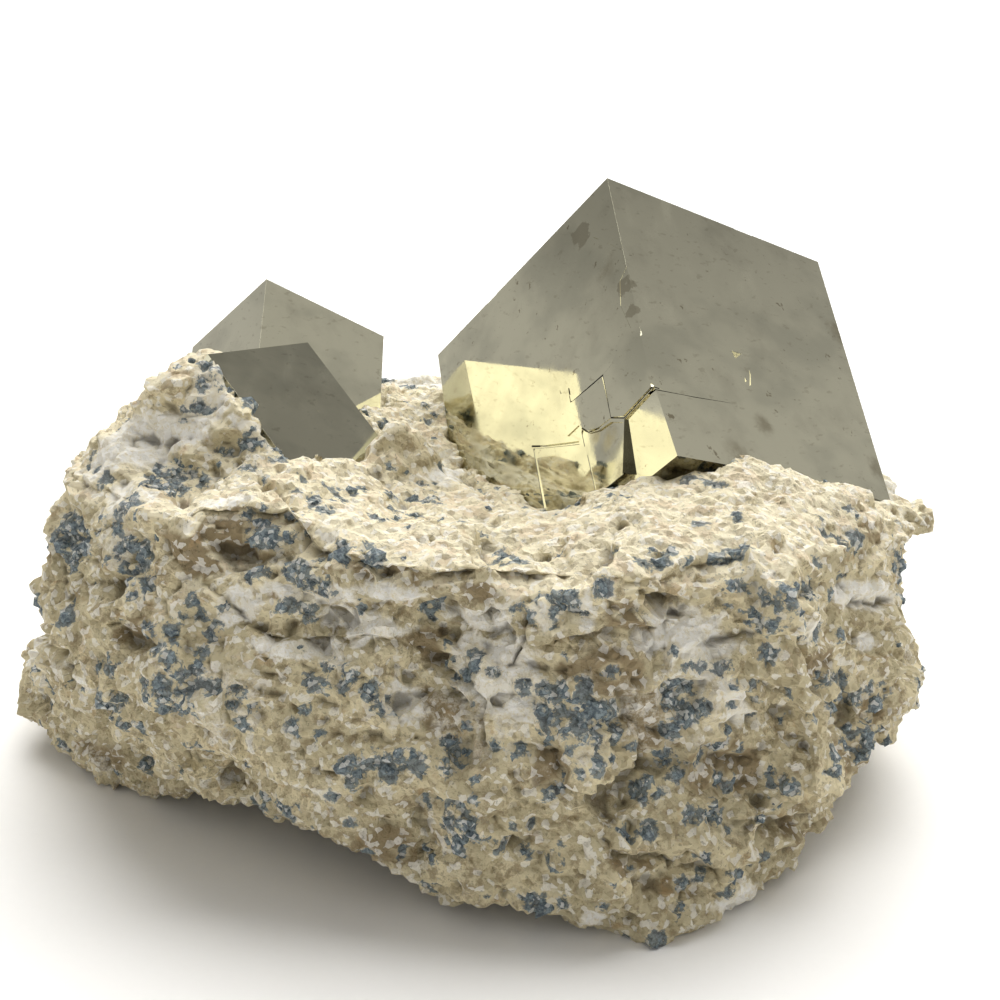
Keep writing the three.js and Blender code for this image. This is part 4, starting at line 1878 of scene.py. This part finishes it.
# The places where its faces are stepped back or chipped, measured in the same way.
SUNK_BLOCKS = [
    Block(
        Face.LEFT,
        ((18.2, 21.6), (16.4, 22.6), (12.4, 24.7), (11.4, 25.2), (10.6, 26.0), (10.4, 33.0), (18.0, 33.0)),
        -0.08,
        (0.0, -0.008),
        1.0,
    ),
    Block(
        Face.LEFT,
        ((10.6, 24.0), (9.7, 25.0), (8.2, 25.6), (6.3, 25.8), (4.8, 26.8), (6.7, 33.0), (7.6, 34.5),
         (10.3, 34.5)),
        -0.14,
        (0.0, -0.012),
        1.0,
    ),
    Block(Face.LEFT, ((18.2, 21.6), (18.3, 21.6), (18.2, 33.0), (18.1, 33.0)), -0.04, (0.5, 0.0), 1.0),
    Block(Face.LEFT, ((10.6, 24.2), (10.7, 24.2), (10.4, 34.0), (10.3, 34.0)), -0.06, (0.6, 0.0), 1.0),
    Block(
        Face.LEFT,
        ((-0.5, 25.7), (0.4, 26.1), (2.9, 26.4), (4.5, 26.6), (6.6, 33.0), (7.1, 36.0), (-0.5, 36.0)),
        -0.16,
        (0.0, -0.125),
        2.0,
    ),
    Block(Face.LEFT, ((-0.1, 11.5), (1.3, 12.4), (1.9, 15.0), (1.2, 18.2), (-0.1, 19.0)), -0.02),
    Block(Face.RIGHT, ((-0.1, 19.2), (0.1, 19.4), (0.1, 19.8), (-0.1, 20.0)), -0.08, (0.4, 0.0)),
    Block(Face.RIGHT, ((-0.1, 25.4), (0.2, 25.7), (-0.1, 26.0)), -0.12, (0.5, 0.0)),
    Block(Face.RIGHT, ((-0.1, 8.3), (0.1, 8.8), (-0.1, 9.6)), -0.05, (0.3, 0.0)),
    Block(Face.BACK, ((-0.1, 17.0), (0.3, 18.0), (0.2, 19.5), (-0.1, 20.4)), -0.1, (0.3, 0.0)),
    Block(Face.BACK, ((20.0, -0.1), (20.6, 0.2), (21.6, 0.2), (22.4, -0.1)), -0.1, (0.0, 0.3)),
]

# The cracks between its blocks.
CRACKS = [
    Crack(Face.RIGHT, ((-0.3, 26.2), (4.9, 25.6), (9.9, 24.9)), 0.16, 0.06, 0.8),
    Crack(Face.RIGHT, ((10.7, 26.2), (17.5, 26.0), (19.7, 28.5), (20.1, 31.7)), 0.05, 0.05, 0.3),
    Crack(Face.LEFT, ((-0.3, 25.8), (2.9, 26.3), (4.5, 26.5), (6.2, 25.4)), 0.10, 0.12, 0.8),
    Crack(Face.LEFT, ((3.6, 19.3), (4.7, 20.2), (6.0, 20.4), (11.3, 20.3)), 0.16, 0.14, 0.6),
    Crack(Face.LEFT, ((6.2, 20.5), (6.2, 25.4)), 0.07, 0.07, 0.4),
    Crack(Face.LEFT, ((11.3, 20.3), (11.3, 18.6), (12.5, 18.5), (12.6, 17.4)), 0.10, 0.06, 0.4),
    Crack(Face.LEFT, ((18.4, 21.2), (16.4, 22.4), (12.3, 24.5), (11.3, 25.0)), 0.20, 0.18, 0.5),
    Crack(Face.LEFT, ((10.5, 23.9), (9.7, 24.9), (8.1, 25.4)), 0.20, 0.14, 0.4),
    Crack(Face.LEFT, ((3.6, 5.0), (2.0, 6.9), (0.2, 9.3)), 0.05, 0.04, 0.3),
    Crack(Face.BACK, ((9.6, 20.9), (21.0, 19.9), (26.0, 16.0)), 0.10, 0.05, 0.4),
    Crack(Face.BACK, ((12.0, 15.6), (9.0, 20.5)), 0.06, 0.05, 0.3),
]

# Rusty and dull places: the face, where on it and how far they reach.
TARNISH = [
    (Face.LEFT, (2.6, 9.0), 3.0),
    (Face.LEFT, (8.8, 25.6), 1.8),
    (Face.LEFT, (7.0, 27.2), 2.6),
    (Face.LEFT, (24.0, 24.0), 4.0),
    (Face.LEFT, (6.6, 31.0), 2.2),
    (Face.RIGHT, (9.0, 32.0), 3.6),
    (Face.RIGHT, (14.0, 26.5), 2.6),
    (Face.RIGHT, (17.5, 29.0), 2.6),
    (Face.RIGHT, (29.6, 27.0), 3.6),
    (Face.RIGHT, (29.8, 10.0), 3.0),
    (Face.BACK, (30.0, 10.0), 5.0),
]

# Painted dark reflections with crisp, ragged edges, standing for dark things that the faces mirror: the
# face, where on it and how far they reach.
DARK_REFLECTION_PATCHES = [
    (Face.LEFT, (5.4, 3.2), 2.6),
    (Face.LEFT, (0.8, 13.4), 1.7),
    (Face.LEFT, (0.7, 16.6), 1.5),
]

# Small chips in the front cube's upper face.
FRONT_MARKS = [
    Block(Face.BACK, ((8.4, 1.8), (8.6, 1.9), (8.4, 2.1)), -0.05, (0.2, 0.2), 0.5),
    Block(Face.BACK, ((8.9, 8.2), (9.1, 8.4), (8.9, 8.5)), -0.05, (0.2, 0.1), 0.5),
    Block(Face.BACK, ((3.0, 6.0), (3.1, 6.1), (3.0, 6.2)), -0.04, (0.2, 0.1), 0.5),
    Block(Face.BACK, ((14.9, 3.0), (14.7, 3.3), (14.9, 4.0)), -0.06, (0.0, 0.1), 0.5),
]

# The crystals' cubes, each with its highest corner, two of the edges that fall from it
# and its size.
LARGE_CUBE = CrystalBody("large_cube", LARGE_APEX, LARGE_TO_LEFT, LARGE_TO_RIGHT, LARGE_SIZE)
FRONT_CUBE = CrystalBody(
    name="front_cube",
    apex=(-27.3, -2.65, 42.3),
    first=(0.5226, 0.848, -0.0886),
    second=(0.5958, -0.4376, -0.6734),
    size=(14.8, 14.8, 14.8),
)
REAR_CUBE = CrystalBody(
    name="rear_cube",
    apex=(-25.6, 23.5, 45.4),
    first=(-0.6432, 0.5045, -0.576),
    second=(0.7657, 0.4275, -0.4806),
    size=(15.9, 15.9, 18.5),
)


def main() -> None:
    """Builds the specimen and its studio, and reports each piece."""
    logging.basicConfig(level=logging.INFO, format="%(name)s: %(message)s")
    makers = (
        MatrixStone(CHALK_AND_LIGHT_SPOTS, BROWN_AND_SHADE_SPOTS, BLUE_SPOTS, PITS, STROKES, LUMPS),
        LargeCrystal(LARGE_CUBE, GROWN_BLOCKS, SUNK_BLOCKS, CRACKS, TARNISH, DARK_REFLECTION_PATCHES),
        SmallCrystals(FRONT_CUBE, REAR_CUBE, FRONT_MARKS),
    )
    for maker in makers:
        for piece in maker.build():
            piece.data.calc_loop_triangles()
            LOG.info("%s: %d triangles", piece.name, len(piece.data.loop_triangles))
    Studio().build()


if __name__ == "__main__":
    main()
